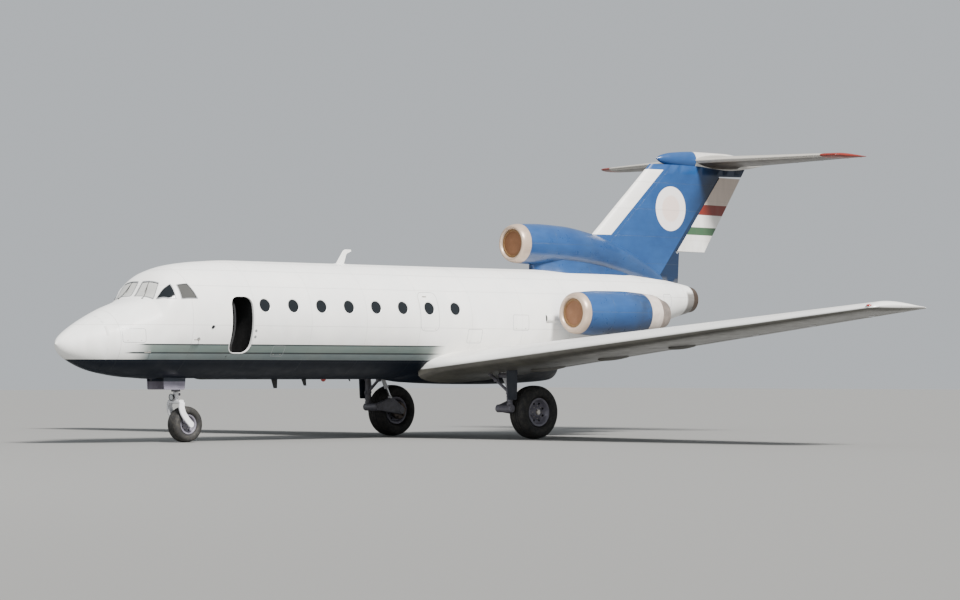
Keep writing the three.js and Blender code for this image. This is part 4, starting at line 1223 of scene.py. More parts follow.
def make_windows():
    glass, rings = Shape(), Shape()
    angle = window_angle()
    for _, side in SIDES:
        for station in WINDOWS:
            hull_disc(glass, WINDOW_PANE, station, angle, side)
            hull_disc(rings, WINDOW_RING, station, angle, side)
    station, z, radius = PORT_HOLE
    angle = hull_angle(station, z)
    pane = ((-0.014, 0), (-0.014, radius - 0.003), (-0.008, 0))
    hull_disc(glass, pane, station, angle, -1, 24)
    foot = (-0.014, radius - 0.005)
    hull_disc(rings, (foot, (0.003, radius), (0.002, radius + 0.012), foot), station, angle, -1, 24)
    part(glass, "cabin_glass", GLASS)
    part(rings, "window_rings", TRIM)


# Wings and tail


def foil(chord, thick, camber, steps=26):
    """Aerofoil outline as (along, up): over the top from the front, and back below."""
    top, bottom = [], []
    for i in range(steps + 1):
        share = (1 - math.cos(math.pi * i / steps)) / 2
        middle = camber_at(share, camber, chord)
        half = foil_half(share, thick, chord)
        top.append((share * chord, middle + half))
        if i:
            bottom.insert(0, (share * chord, middle - half))
    return top + bottom


def foil_half(share, thick, chord):
    curve = (
        0.2969 * math.sqrt(share)
        - 0.126 * share
        - 0.3516 * share**2
        + 0.2843 * share**3
        - 0.1036 * share**4
    )
    return 5 * thick * chord * curve + 0.004 * share


def camber_at(share, camber, chord):
    peak = 0.4
    scale = camber / peak**2 if share < peak else camber / (1 - peak) ** 2
    offset = 0 if share < peak else 1 - 2 * peak
    return chord * scale * (offset + 2 * peak * share - share**2)


def between(a, b, share):
    return {key: a[key] + share * (b[key] - a[key]) for key in a}


def panel_sections(root, tip, cap):
    """Sections of a wing or tailplane: straight to the tip, then a rounded end."""
    sections = [between(root, tip, i / 14) for i in range(15)]
    for share in (0.25, 0.5, 0.7, 0.84, 0.93, 0.98, 1.0):
        fall = math.sqrt(max(0, 1 - share**2))
        section = between(tip, cap, 1 - fall)
        section["y"] = tip["y"] + (cap["y"] - tip["y"]) * share
        section["thick"] = tip["thick"] * max(fall, 0.08)
        sections.append(section)
    return sections


def section_rings(root, tip, cap, side, camber):
    rings = []
    for section in panel_sections(root, tip, cap):
        outline = foil(section["chord"], section["thick"], camber)
        rings.append([at(section["le"] + u, side * section["y"], section["z"] + v) for u, v in outline])
    return rings


def wing_section(y):
    return between(WING_ROOT, WING_TIP, (y - WING_ROOT["y"]) / (WING_TIP["y"] - WING_ROOT["y"]))


def tail_section(y):
    return between(TAIL_ROOT, TAIL_TIP, y / TAIL_TIP["y"])


def along_line(a, b, distance):
    return a + (b - a).normalized() * distance


def behind_line(a, b, gap, depth, name, material):
    """Block behind a hinge line."""
    along = (b - a).normalized()
    back = (Vector((1, 0, 0)) - along * along.x).normalized()
    up = along.cross(back)
    outline = ((gap, 0), ((b - a).length - gap, 0), ((b - a).length - gap, depth), (gap, depth))

    def place(u, v, w):
        return a + along * u + back * v + up * w

    return dressed(Shape().prism(outline, -depth, depth, place), name, material)


def corner_wedge(a, b, side, degrees, material):
    """Corner behind a hinge line that is cut off so that the surface can turn."""
    reach = 0.4
    back = reach * math.tan(math.radians(degrees))
    rings = []
    for point in (along_line(a, b, -0.06), along_line(b, a, -0.06)):
        outline = ((0, 0), (0, side * reach), (back, side * reach))
        rings.append([point + Vector((u, 0, v)) for u, v in outline])
    return dressed(Shape().loft(rings), "wedge", material)


def split_surface(whole, inner, outer, name, inside, wedges=(), depth=1.4):
    """Takes a hinged surface off a wing: it has a round nose, and the wing a cove round that."""
    (a, half_a), (b, half_b) = inner, outer
    near, far = along_line(a, b, GAP), along_line(b, a, GAP)
    surface = placed(name, whole.data.copy())
    carve(surface, behind_line(a, b, GAP, depth, "slab", inside), "INTERSECT")
    for side, degrees in wedges:
        carve(surface, corner_wedge(a, b, side, degrees, inside))
    nose = Shape().rod(near, far, half_a * 0.97, half_b * 0.97, 40)
    carve(surface, dressed(nose, "nose", whole.data.materials[0]), "UNION")
    carve(whole, behind_line(a, b, 0, depth, "slab", inside))
    cove = Shape().rod(a, b, half_a + GAP, half_b + GAP, 40)
    carve(whole, dressed(cove, "cove", inside))
    return surface


def wing_hinge(side, y):
    section = wing_section(y)
    up = section["z"] + camber_at(HINGE_AT, WING_CAMBER, section["chord"])
    half = foil_half(HINGE_AT, section["thick"], section["chord"])
    return at(section["le"] + HINGE_AT * section["chord"], side * y, up), half


def make_wing(label, side):
    rings = section_rings(WING_ROOT, WING_TIP, WING_CAP, side, WING_CAMBER)
    wing = dressed(Shape().loft(rings), f"wing_skin_{label}", WING)
    whole = wing.data.copy()
    for kind, span in (("flap", FLAP), ("aileron", AILERON)):
        ends = [wing_hinge(side, span[key]) for key in ("from", "to")]
        surface = split_surface(wing, *ends, f"{kind}_skin_{label}", DARK, span["wedges"])
        keep_smooth(surface, whole)
        show(surface, f"{kind}_body_{label}", replaces=(f"{kind}_{label}",))
    keep_smooth(wing, whole)
    show(wing, "airframe", replaces=(f"wing_{label}",))


def wing_point(side, y, share, top=True):
    """Point of a wing's surface at a share of its chord."""
    section = wing_section(y)
    half = foil_half(share, section["thick"], section["chord"])
    up = camber_at(share, WING_CAMBER, section["chord"]) + (half if top else -half)
    return at(section["le"] + share * section["chord"], side * y, section["z"] + up)


def fin_chord(z):
    """Leading edge and chord of the fin at a height."""
    section = between(FIN_BASE, FIN_TOP, (z - FIN_BASE["z"]) / (FIN_TOP["z"] - FIN_BASE["z"]))
    return section["le"], section["te"] - section["le"]


def fin_section(z):
    le, chord = fin_chord(z)
    return [at(le + u, v, z) for u, v in foil(chord, FIN_THICK, 0)]


def fin_half(station, z):
    le, chord = fin_chord(z)
    return foil_half((station - le) / chord, FIN_THICK, chord)


def rudder_hinge(z):
    (low_x, _, low_z), (high_x, _, high_z) = RUDDER_HINGE
    return at(low_x + (high_x - low_x) * (z - low_z) / (high_z - low_z), 0, z)


def behind_rudder_hinge(low, high, high_tail, name, material):
    outline = (
        (rudder_hinge(low).x - NOSE, low),
        (LENGTH, low),
        (LENGTH, high_tail),
        (rudder_hinge(high).x - NOSE, high),
    )
    return dressed(Shape().prism(outline, -0.3, 0.3, across_y), name, material)


def make_fin():
    heights = [FIN_BASE["z"] + (FIN_TOP["z"] - FIN_BASE["z"]) * i / 12 for i in range(13)]
    fin = dressed(Shape().loft([fin_section(z) for z in heights]), "fin_skin", FIN)
    whole = fin.data.copy()
    low, high = (Vector((NOSE + s, y, z)) for s, y, z in RUDDER_HINGE)
    half_low = fin_half(RUDDER_HINGE[0][0], RUDDER_HINGE[0][2])
    half_high = fin_half(RUDDER_HINGE[1][0], RUDDER_HINGE[1][2])
    rudder = placed("rudder_skin", fin.data.copy())
    rudder.data.materials[0] = RUDDER
    behind = behind_rudder_hinge(RUDDER_BOTTOM, RUDDER_TOP, RUDDER_TOP, "behind", DARK)
    carve(rudder, behind, "INTERSECT")
    ends = (along_line(low, high, 0.11), rudder_hinge(RUDDER_TOP - 0.09))
    nose = Shape().rod(*ends, half_low * 0.9, half_high * 0.9, 40)
    carve(rudder, dressed(nose, "nose", FIN), "UNION")
    keep_smooth(rudder, whole)
    show(rudder, "rudder_surface", replaces=("rudder",))
    top = RUDDER_TOP + 0.03
    carve(fin, behind_rudder_hinge(low.z, top, top + 0.03, "slab", DARK))
    ends = (along_line(low, high, -0.01), rudder_hinge(top))
    cove = Shape().rod(*ends, half_low + GAP, half_high + GAP, 40)
    carve(fin, dressed(cove, "cove", DARK))
    stations, heights = (RUDDER_HINGE[0][0] + 0.09, LENGTH), (FIN_BASE["z"] - 0.01, low.z + 0.003)
    carve(fin, box_tool("below", stations, 0.4, heights, FIN))
    keep_smooth(fin, whole)
    show(fin, "airframe", replaces=("fin",))


def make_bullet():
    rings = []
    first, last = BULLET[0][0], BULLET[-1][0]
    for i in range(61):
        share = (1 - math.cos(math.pi * i / 60)) / 2
        station = first + (last - first) * share
        half_height, half_width = bullet(station)
        rings.append(ellipse(station, BULLET_Z, half_width, half_height, 48))
    skin = Shape().loft(rings)
    part(skin, "bullet_fairing", BULLET_PAINT, replaces=("fin_bullet",))


def make_tailplane():
    halves = Shape()
    for _, side in SIDES:
        rings = section_rings(TAIL_ROOT, TAIL_TIP, TAIL_CAP, side, 0)
        rings[0] = [point - Vector((0, side * 0.01, 0)) for point in rings[0]]
        plane = dressed(Shape().loft(rings), "half", TAILPLANE)
        halves = plane if side < 0 else carve(halves, plane, "UNION")
    halves.name = "tailplane_skin"
    whole = halves.data.copy()
    carve(halves, box_tool("centre", (19.470, LENGTH + 0.05), ELEVATOR["from"] - 0.001, (6.0, 6.6), DARK))
    for label, side in SIDES:
        ends = []
        for y, hinge in zip((ELEVATOR["from"], ELEVATOR["to"]), ELEVATOR["hinge"]):
            section = tail_section(y)
            share = (hinge - section["le"]) / section["chord"]
            half = foil_half(share, section["thick"], section["chord"])
            ends.append((at(hinge, side * y, section["z"]), half))
        surface = split_surface(halves, *ends, f"elevator_skin_{label}", DARK)
        keep_smooth(surface, whole)
        show(surface, f"elevator_body_{label}", replaces=(f"elevator_{label}",))
    keep_smooth(halves, whole)
    show(halves, "airframe", replaces=("tailplane",))


# Engines


def make_duct():
    """Round duct on a skirt that joins it to the fuselage."""
    rings = []
    first, last = DUCT[0][0], DUCT[-1][0]
    for i in range(61):
        station = first + (last - first) * i / 60
        z, radius = duct(station)
        rings.append(ellipse(station, z, radius, radius, 64))
    skin = dressed(Shape().loft(rings), "duct_skin", DUCT_PAINT)
    rings = []
    first, last = SKIRT
    for i in range(49):
        station = first + (last - first) * i / 48
        z, radius = duct(station)
        base = hull(station)[0] - 0.12
        nose = math.sqrt(min(1, max(0.02, (station - first + 0.01) / 0.7)))
        tail = math.sqrt(min(1, max(0.02, (last + 0.02 - station) / 1.2)))
        wide = min(nose, tail) * 0.30 * radius / 0.45
        rings.append(skirt_section(station, z, base, wide, min(nose, tail) * 0.12))
    carve(skin, dressed(Shape().loft(rings), "skirt", DUCT_PAINT), "UNION")
    shade(skin, 50)
    show(skin, "airframe", replaces=("centre_duct",))


def skirt_section(station, top, base, wide, flare):
    """Section that widens where it meets the fuselage."""
    points = []
    steps = 10
    for i in range(steps + 1):
        share = i / steps
        half = wide + flare * (1 - share) ** 3
        points.append(at(station, half, base + (top - base) * share))
    return points + [Vector((p.x, -p.y, p.z)) for p in reversed(points)]


def lip_profile(depth, outer):
    """Rounded lip of an intake: (aft of its face, radius)."""
    crown = INTAKE_RADIUS + 0.048
    points = []
    for i in range(13):
        a = math.pi / 2 * i / 12
        points.append((depth * (1 - math.cos(a)), crown + (outer - crown) * math.sin(a)))
    points.append((depth, INTAKE_RADIUS + 0.001))
    for i in range(9):
        a = math.pi / 2 * (1 - i / 8)
        points.append((0.08 * (1 - math.cos(a)), crown - (crown - INTAKE_RADIUS) * math.sin(a)))
    points[-1] = points[0]
    return points


def intake(label, origin, depth, outer):
    lip = Shape().turned(lip_profile(depth, outer), origin, sides=72)
    part(lip, f"lip_{label}", LIP, replaces=(f"intake_lip_{label}",))
    edge = INTAKE_RADIUS - 0.001
    face = ((0.066, 0), (0.068, edge - 0.05), (0.072, edge - 0.042), (0.110, edge - 0.04), (0.11, 0))
    cover = Shape().turned(face, origin, sides=64)
    part(cover, f"cover_{label}", BLANK, replaces=(f"intake_blank_{label}",))
    steps = ((0.060, 0.045), (0.052, 0.036), (0.052, 0.008), (0.060, 0), (0.110, 0), (0.110, 0.045))
    ring = [(aft, edge - inward) for aft, inward in steps]
    rim = Shape().turned([*ring, ring[0]], origin, sides=64)
    part(rim, f"cover_rim_{label}", COVER_RIM)


def exhaust(label, origin, depth, radius):
    """Turbine disc, its blades and the cone at the end of a tail pipe."""
    disc, foot, count = 0.02, 0.10, 24
    parts = Shape().turned(((0, 0), (0, radius), (disc, radius), (disc, foot), (disc, 0)), origin, sides=48)
    cone = [(disc, 0), (disc, 0.115)]
    for i in range(1, 9):
        a = math.pi / 2 * i / 8
        cone.append((disc + (depth - disc) * math.sin(a), 0.115 * math.cos(a)))
    parts.turned(cone, origin, sides=32)
    outline = ((0, foot), (0, radius - 0.004), (0.045, radius - 0.008), (0.045, foot))
    for k in range(count):
        a = 2 * math.pi * k / count
        radial = Vector((0, math.cos(a), math.sin(a)))
        around = Vector((0, -math.sin(a), math.cos(a)))

        def place(u, v, w):
            return origin + Vector((disc + u, 0, 0)) + radial * v + around * (w + (u - disc) * 0.8)

        parts.prism(outline, -0.003, 0.003, place)
    part(parts, f"turbine_{label}", STEEL, replaces=(f"engine_{label}",))


def nozzle_ring(label, origin, outer_front, length, outer_back, inner_front, metal):
    outer, inner = [], []
    for i in range(9):
        share = i / 8
        ease = share * share * (3 - 2 * share) * 0.3 + share * 0.7
        outer.append((0.0004 + length * share, outer_front + (outer_back - outer_front) * ease))
        inner.append((0.0004 + length * share, inner_front + (NOZZLE_RADIUS - inner_front) * ease))
    profile = outer + list(reversed(inner)) + [outer[0]]
    ring = Shape().turned(profile, origin, sides=64)
    part(ring, f"nozzle_ring_{label}", metal, replaces=(f"nozzle_{label}",))


def make_engines():
    intake("centre", at(*CENTRE_INTAKE), 0.230, 0.432)
    nozzle_ring("centre", at(*TAIL_NOZZLE), 0.318, 0.19, 0.290, NOZZLE_RADIUS, STEEL)
    exhaust("centre", at(16.9, 0, 3.055), 0.35, 0.26)
    start, end = NACELLE[0][0] + 0.0004, NACELLE[-1][0]
    for label, side in SIDES:
        station, y, z = SIDE_ENGINE
        origin = at(station, side * y, z)
        intake(label, origin, 0.170, 0.452)
        outline = []
        for i in range(33):
            aft = start + (end - start) * i / 32
            outline.append((aft, nacelle(aft)[0]))
        back = [(end, PIPE_RADIUS), (end - 0.4, PIPE_RADIUS), (start, INTAKE_RADIUS), outline[0]]
        skin = Shape().turned(outline + back, origin, sides=72)
        part(skin, f"nacelle_skin_{label}", NACELLE_PAINT, replaces=(f"nacelle_{label}",))
        nozzle_ring(label, origin + Vector((end, 0, 0)), 0.430, 0.36, 0.312, PIPE_RADIUS, PALE_STEEL)
        exhaust(label, origin + Vector((end - 0.38, 0, 0)), 0.45, PIPE_RADIUS - 0.001)
        make_pylon(label, side)


def make_pylon(label, side):
    """Stub between the fuselage and a nacelle, with an aerofoil section."""
    rings = []
    for i in range(11):
        share = i / 10
        y, front, back, half = (a + (b - a) * share for a, b in zip(*PYLON))
        flare = 0.05 * (max(0, 1 - share / 0.35) ** 2 + max(0, (share - 0.72) / 0.28) ** 2)
        chord = back - front
        outline = foil(chord, 2 * half / chord, 0)
        z, swell = SIDE_ENGINE[2], 1 + flare / half
        rings.append([at(front + u, side * y, z + v * swell) for u, v in outline])
    body = Shape().loft(rings)
    part(body, f"pylon_skin_{label}", PYLON_PAINT, replaces=(f"pylon_{label}",))


# Crew door and airstair


def turn_about(obj, point, degrees, axis):
    turn = Matrix.Rotation(math.radians(degrees), 4, axis)
    obj.data.transform(Matrix.Translation(point) @ turn @ Matrix.Translation(-point))
    return obj


def turned_door(obj):
    """Moves what was built on the closed door to where the open door stands."""
    return turn_about(obj, at(*DOOR_HINGE, 0), 90, "Z")


def make_crew_door():
    """Open leaf, its two hinge arms and pins, ribs and handle."""
    leaf = dressed(Shape().loft(hull_rings(*DOOR_ZONE, 40)), "crew_door_leaf", HULL)
    inner = Shape().loft(hull_rings(3.18, 4.22, 40, grow=-LEAF["thick"]))
    carve(leaf, dressed(inner, "inner", BLACK))
    outline = door_outline(LEAF)
    carve(leaf, dressed(Shape().prism(outline, -1.4, -0.6, across_y), "outline", BLACK), "INTERSECT")
    shade(leaf, 40)
    turned_door(leaf)
    show(leaf, "crew_door_leaf", replaces=("crew_door",))
    fittings = Shape()
    x, y = DOOR_HINGE
    for low, high, reach, foot in ((2.825, 2.865, -1.072, 2.785), (1.810, 1.850, -0.955, 1.845)):
        fittings.box(at(x - 0.013, reach, low), at(x + 0.027, y + 0.012, high), 0.005)
        toe = at(x + 0.110, reach + 0.006, foot + 0.04)
        fittings.box(at(x - 0.013, reach - 0.018, foot), toe, 0.004)
    for low, high in ((2.826, 2.970), (1.705, 1.848)):
        fittings.bar(at(x, y, low), at(x, y, high), 0.0116, 0.002)
    middle = 3.70
    inside = -hull(middle)[2] * 0.96 + 0.060
    for z in (2.06, 2.34, 2.62):
        rib_y = on_hull(middle, hull_angle(middle, z), -1, -LEAF["thick"]).y
        fittings.box(at(3.50, rib_y - 0.012, z - 0.014), at(3.86, rib_y + 0.016, z + 0.014), 0.005)
    fittings.pin(middle, 2.45, inside - 0.05, inside + 0.022, 0.016)
    grip = ((3.63, 0.02, 2.42), (middle, 0.03, 2.45), (3.80, 0.02, 2.49))
    fittings.tube([at(station, inside + out, z) for station, out, z in grip], 0.010)
    piece = turned_door(fittings.object("crew_door_fittings"))
    show(piece, "crew_door_leaf", BLACK)


def make_door_surround():
    """Flush frame of the crew doorway, and the slats of its hall's floor."""
    outline = even(door_outline(DOOR), 0.03)
    levels = ((-0.010, 0.0005), (0.003, 0.0005), (0.003, 0.016), (-0.010, 0.016))
    part(hull_band(Shape(), outline, -1, levels), "doorway_frame", TRIM)
    floor = Shape()
    low = HALL["low"]
    for i in range(9):
        x = HALL["from"] + 0.035 + i * 0.068
        floor.box(at(x, -0.88, low), at(x + 0.05, HALL["depth"] - 0.02, low + 0.012), 0.003)
    part(floor, "hall_floor", BLACK)


def lowered(point):
    """Direction at rest of what points along (aft, up) once the airstair is down."""
    angle = math.radians(STAIR_TRAVEL)
    aft, up = point
    return aft * math.cos(angle) - up * math.sin(angle), aft * math.sin(angle) + up * math.cos(angle)


def swing_room():
    """What the front edge gives up so that it clears its well once the airstair is down."""
    edge = box_tool("swing_room", (12.0, STAIR["from"] + 0.004), 0.6, (0.9, 2.0), PRIMER)
    return turn_about(edge, at(STAIR_HINGE[0], 0, STAIR_HINGE[1]), -STAIR_TRAVEL, "Y")


def make_airstair():
    leaf = hull_shell("airstair_leaf", 12.7, 15.2, 0, -STAIR["thick"])
    leaf.data.materials.append(HULL)
    stations = (STAIR["from"] + 0.030, STAIR["to"] - GAP)
    carve(leaf, box_tool("leaf_box", stations, STAIR["half"] - GAP, (1.0, 2.3), PRIMER), "INTERSECT")
    for y in STAIR_LUGS:
        low, high = at(STAIR["from"] - 0.02, y - 0.035, 1.0), at(STAIR_HINGE[0] + 0.06, y + 0.035, 2.0)
        carve(leaf, dressed(Shape().box(low, high, 0), "notch", PRIMER))
    carve(leaf, swing_room())
    shade(leaf, 40)
    show(leaf, "airstair", replaces=("ventral_airstair",))
    hinge = Shape().pin(STAIR_HINGE[0], STAIR_HINGE[1], -0.3, 0.3, 0.0117)
    part(hinge, "airstair_hinge_pin", BRASS, body="airstair")
    make_treads()
    lugs = Shape()
    for y in STAIR_LUGS:
        low = at(STAIR["from"] - 0.02, y - 0.025, STAIR_HINGE[1] - 0.018)
        lugs.box(low, at(STAIR_HINGE[0] - 0.013, y + 0.025, STAIR_HINGE[1] + 0.06), 0.003)
    part(lugs, "airstair_lugs", BRASS)


def stair_line(station):
    return hull(station)[1] + STAIR["thick"] - 0.004


def make_treads():
    """Steps that lie level when the airstair is down, between two side plates."""
    steps = 8
    first, last = 13.10, 14.86
    stations = [first + (last - first) * i / steps for i in range(steps + 1)]
    line = [(station, stair_line(station)) for station in stations]
    aft, up = lowered((1, 0))
    down = lowered((0, -1))
    treads, plates, strips = Shape(), Shape(), Shape()
    for (x0, z0), (x1, z1) in zip(line, line[1:]):
        determinant = aft * down[1] - up * down[0]
        reach = ((x1 - x0) * down[1] - (z1 - z0) * down[0]) / determinant
        corner = (x0 + aft * reach, z0 + up * reach)
        outline = ((x0, z0), corner, (x1, z1), (x1, z1 - 0.03), (x0, z0 - 0.03))
        treads.prism(outline, -0.36, 0.36, across_y, 0.003)
        for k in range(4):
            share = 0.18 + 0.2 * k
            base = Vector((x0 + aft * reach * share, z0 + up * reach * share))
            along, normal = Vector((aft, up)) * 0.014, Vector((-up, aft)) * 0.004
            points = [base - normal, base + along - normal, base + along + normal, base + normal]
            strips.prism([tuple(p) for p in points], -0.33, 0.33, across_y)
    for y in (-0.385, 0.361):
        outline = [(x, z + 0.15) for x, z in line] + [(x, z - 0.03) for x, z in reversed(line)]
        plates.prism(outline, y, y + 0.024, across_y, 0.004)
    part(treads, "airstair_treads", GEAR, body="airstair")
    part(strips, "airstair_grip_strips", BLACK, body="airstair")
    part(plates, "airstair_side_plates", FRAME, body="airstair")


# Wheels


def tyre_profile(wheel):
    """Section of a tyre as (along the axle, radius), with grooves round its tread."""
    half, rim, radius = wheel["half"], wheel["rim"] + 0.0005, wheel["radius"]
    centre, rise = (rim + radius) / 2, (radius - rim) / 2
    points = []
    count = 72
    for i in range(count):
        t = 2 * math.pi * i / count - math.pi / 2
        across = half * math.copysign(abs(math.cos(t)) ** 0.72, math.cos(t))
        up = centre + rise * math.copysign(abs(math.sin(t)) ** 0.80, math.sin(t))
        points.append((across, up))
    profile = []
    for here, after in zip(points, points[1:] + points[:1]):
        profile.append(here)
        for groove in GROOVES:
            where = groove * half
            if (here[0] - where) * (after[0] - where) < 0 and here[1] > centre + rise * 0.6:
                r = min(here[1], after[1])
                wide = math.copysign(0.008, after[0] - here[0])
                for step, depth in ((-1, 0), (-0.7, 0.009), (0.7, 0.009), (1, 0)):
                    profile.append((where + wide * step, r - depth))
    return profile + [profile[0]]


def rim_profile(wheel):
    """Section of a rim as (along the axle, radius), the same on both sides."""
    half, rim, hub = wheel["half"], wheel["rim"], wheel["hub"] + 0.0008
    edge = half * 0.72
    outer = [
        (edge - 0.016, rim - 0.002),
        (edge - 0.004, rim + 0.010),
        (edge + 0.006, rim + 0.006),
        (edge + 0.004, rim * 0.93),
        (edge - 0.002, rim * 0.88),
        (half * 0.42, rim * 0.76),
        (half * 0.36, rim * 0.62),
        (half * 0.50, hub * 2.3),
        (half * 0.55, hub * 1.9),
        (half * 0.55, hub),
    ]
    return outer + [(-a, r) for a, r in reversed(outer)] + [outer[0]]


def around_hub(centre, radius, offset):
    """Points between or on the spokes of a wheel."""
    angles = [2 * math.pi * (k + offset) / SPOKES for k in range(SPOKES)]
    return [centre + Vector((math.cos(a), 0, math.sin(a))) * radius for a in angles]


def wheel_pieces(wheel, side, label, tyre_node, rim_node, body):
    """Tyre, rim with holes, and bolts; side is the way its outer face looks."""
    centre = at(wheel["x"], side * wheel["y"], wheel["radius"])
    along = Vector((0, side, 0))
    half, rim = wheel["half"], wheel["rim"]
    tyre = Shape().turned(tyre_profile(wheel), centre, along, 96)
    show(tyre.object(f"{label}_rubber", 30), body, RUBBER, (tyre_node,))
    rim_object = dressed(Shape().turned(rim_profile(wheel), centre, along, 72), f"{label}_rim", RIM)
    holes = Shape()
    for spoke in around_hub(centre, rim * 0.655, 0.5):
        holes.rod(spoke - along * half, spoke + along * half, rim * 0.085, sides=20)
    carve(rim_object, dressed(holes, "holes", BLACK))
    shade(rim_object, 30)
    show(rim_object, body, replaces=(rim_node,))
    bolts = Shape()
    bolt = ((0, 0), (0, 0.011), (0.014, 0.010), (0.017, 0.006), (0.017, 0))
    for place in around_hub(centre, rim * 0.46, 0):
        bolts.turned(bolt, place + along * half * 0.44, along, 6)
    part(bolts, f"{label}_bolts", BRASS, body=body)


# Main landing gear


def collar(shape, origin, z, height, radius):
    """Band round an upright leg, with rounded edges."""
    profile = band_profile(height, radius, min(0.006, height / 3))
    return shape.turned(profile, Vector((origin.x, origin.y, z)), (0, 0, 1), 40)


def main_leg(label, side):
    """Upright leg with the knuckle of the lever and the bracket of the damper."""
    x, y = MAIN_LEG[0], side * MAIN_LEG[1]
    inner = side * (LEVER_Y - 0.058)
    leg = Shape()
    leg.bar(at(x, y, 0.60), at(x, y, 1.62), 0.054, 0.010, 40)
    bands = ((0.72, 0.05, 0.066), (0.79, 0.62, 0.069), (1.28, 0.10, 0.074), (0.88, 0.03, 0.074))
    for z, height, radius in bands:
        collar(leg, at(x, y, 0), z, height, radius)
    leg.pin(x, 0.64, inner, y + side * 0.079, 0.084, 0.012, 48)
    leg.pin(x, 0.64, inner - side * 0.012, y + side * 0.088, 0.036, 0.004, 24)
    leg.pin(x + 0.05, 1.33, inner, y, 0.049, 0.010, 32)
    part(leg, f"main_strut_{label}", GEAR, replaces=(f"main_leg_{label}",))


def main_damper(label, side):
    """White damper from the leg to the lever, with its bright rod."""
    x = MAIN_LEG[0]
    top, low = at(x + 0.05, side * LEVER_Y, 1.47), at(x + 0.40, side * LEVER_Y, 0.80)
    damper = Shape()
    middle = top.lerp(low, 0.62)
    damper.bar(top, middle, 0.046, 0.008, 32)
    damper.bar(top.lerp(low, 0.57), middle, 0.052, 0.006, 32)
    damper.bar(top.lerp(low, 0.88), low, 0.043, 0.008, 32)
    part(damper, f"main_damper_{label}", WHITE_GEAR)
    piston = Shape().bar(middle, top.lerp(low, 0.90), 0.029, 0.002, 32)
    part(piston, f"main_damper_rod_{label}", CHROME)


def main_hoses(label, side):
    x, y = MAIN_LEG[0], side * MAIN_LEG[1]
    hoses = Shape()
    beside = side * (LEVER_Y + 0.058)
    for out, radius, low_z in ((0.078, 0.009, 0.70), (0.060, 0.007, 0.78)):
        run = (
            (0.02, 1.40, y),
            (0.078, 1.15, y),
            (0.070, 0.90, y),
            (0.05, low_z, y - side * 0.10),
            (0.12, low_z, beside),
            (0.45, low_z - 0.03, beside),
        )
        hoses.tube([at(x + u, v - side * (out - 0.06), z) for u, z, v in run], radius)
    part(hoses, f"main_hoses_{label}", BLACK)


def main_lever(label, side):
    """Trailing arm beside the wheel, with the axle."""
    x, y = MAIN_LEG[0], side * LEVER_Y
    wheel_x, radius = MAIN_WHEEL["x"], MAIN_WHEEL["radius"]
    corners = (
        (x - 0.04, 0.575),
        (wheel_x, radius - 0.085),
        (wheel_x + 0.090, radius - 0.02),
        (wheel_x + 0.060, radius + 0.07),
        (x + 0.455, 0.830),
        (x + 0.345, 0.835),
        (x - 0.04, 0.705),
    )
    arm = Shape()
    outline = rounded(corners, (0.05, 0.05, 0.07, 0.05, 0.03, 0.03, 0.05), 8)
    arm.prism(outline, y - 0.042, y + 0.042, across_y, 0.012)
    arm.prism(inset(rounded(corners, 0.04, 6), 0.036), y - 0.048, y + 0.048, across_y, 0.004)
    for px, pz, r in ((wheel_x, radius, 0.078), (x + 0.40, 0.79, 0.046)):
        arm.pin(px, pz, y - 0.055, y + 0.055, r, 0.006, 40)
    part(arm, f"main_arm_{label}", GEAR, replaces=(f"main_lever_{label}",))
    outer = MAIN_WHEEL["y"] + MAIN_WHEEL["half"] * 0.68
    hub = Shape().pin(wheel_x, radius, y, side * outer, 0.0455, 0.004, 48)
    hub.pin(wheel_x, radius, side * (outer - 0.03), side * (outer - 0.008), 0.062, 0.004, 6)
    part(hub, f"main_axle_{label}", BRASS)


def main_brake(label, side):
    """Drum on the inner side of the wheel, with six round cylinders."""
    wheel_x, radius = MAIN_WHEEL["x"], MAIN_WHEEL["radius"]
    brake = Shape()
    back = side * (MAIN_WHEEL["y"] - MAIN_WHEEL["half"] * 0.72 - 0.016)
    front = side * (LEVER_Y + 0.040)
    brake.pin(wheel_x, radius, back, front, 0.190, 0.012, 56)
    brake.pin(wheel_x, radius, back + side * 0.01, front, 0.105, 0.010, 48)
    for k in range(6):
        a = 2 * math.pi * (k + 0.25) / 6
        px, pz = wheel_x + 0.145 * math.cos(a), radius + 0.145 * math.sin(a)
        brake.pin(px, pz, front + side * 0.01, front - side * 0.035, 0.026, 0.005, 20)
    part(brake, f"brake_{label}", STEEL)


def main_door(label, side):
    """Fairing plate on the outer side of the leg."""
    x, leg_y = MAIN_LEG
    y = side * (leg_y + 0.10)
    outline = even(rounded(((9.78, 0.82), (10.04, 0.82), (10.06, 1.50), (9.74, 1.50)), 0.05, 8), 0.05)

    def place(u, v, w):
        return at(u, y + side * (w + 0.008 * (1 - ((u - 9.90) / 0.16) ** 2)), v)

    door = Shape().prism(outline, -0.010, 0.002, place, 0.003)
    door.prism(inset(outline, 0.035), -0.016, -0.009, place, 0.002)
    # Dark navy here is painted shade under the wing
    part(door, f"main_door_skin_{label}", NAVY_DOOR_SHADE, replaces=(f"main_gear_door_{label}",))
    lugs = Shape()
    for z in (0.90, 1.20):
        low_y, high_y = sorted((side * (leg_y + 0.05), y - side * 0.006))
        lugs.box(at(x - 0.03, low_y, z), at(x + 0.03, high_y, z + 0.05), 0.006)
        ends = [at(x + reach, y - side * 0.022, z + 0.025) for reach in (-0.036, 0.036)]
        lugs.bar(*ends, 0.009)
    part(lugs, f"main_door_links_{label}", GEAR)


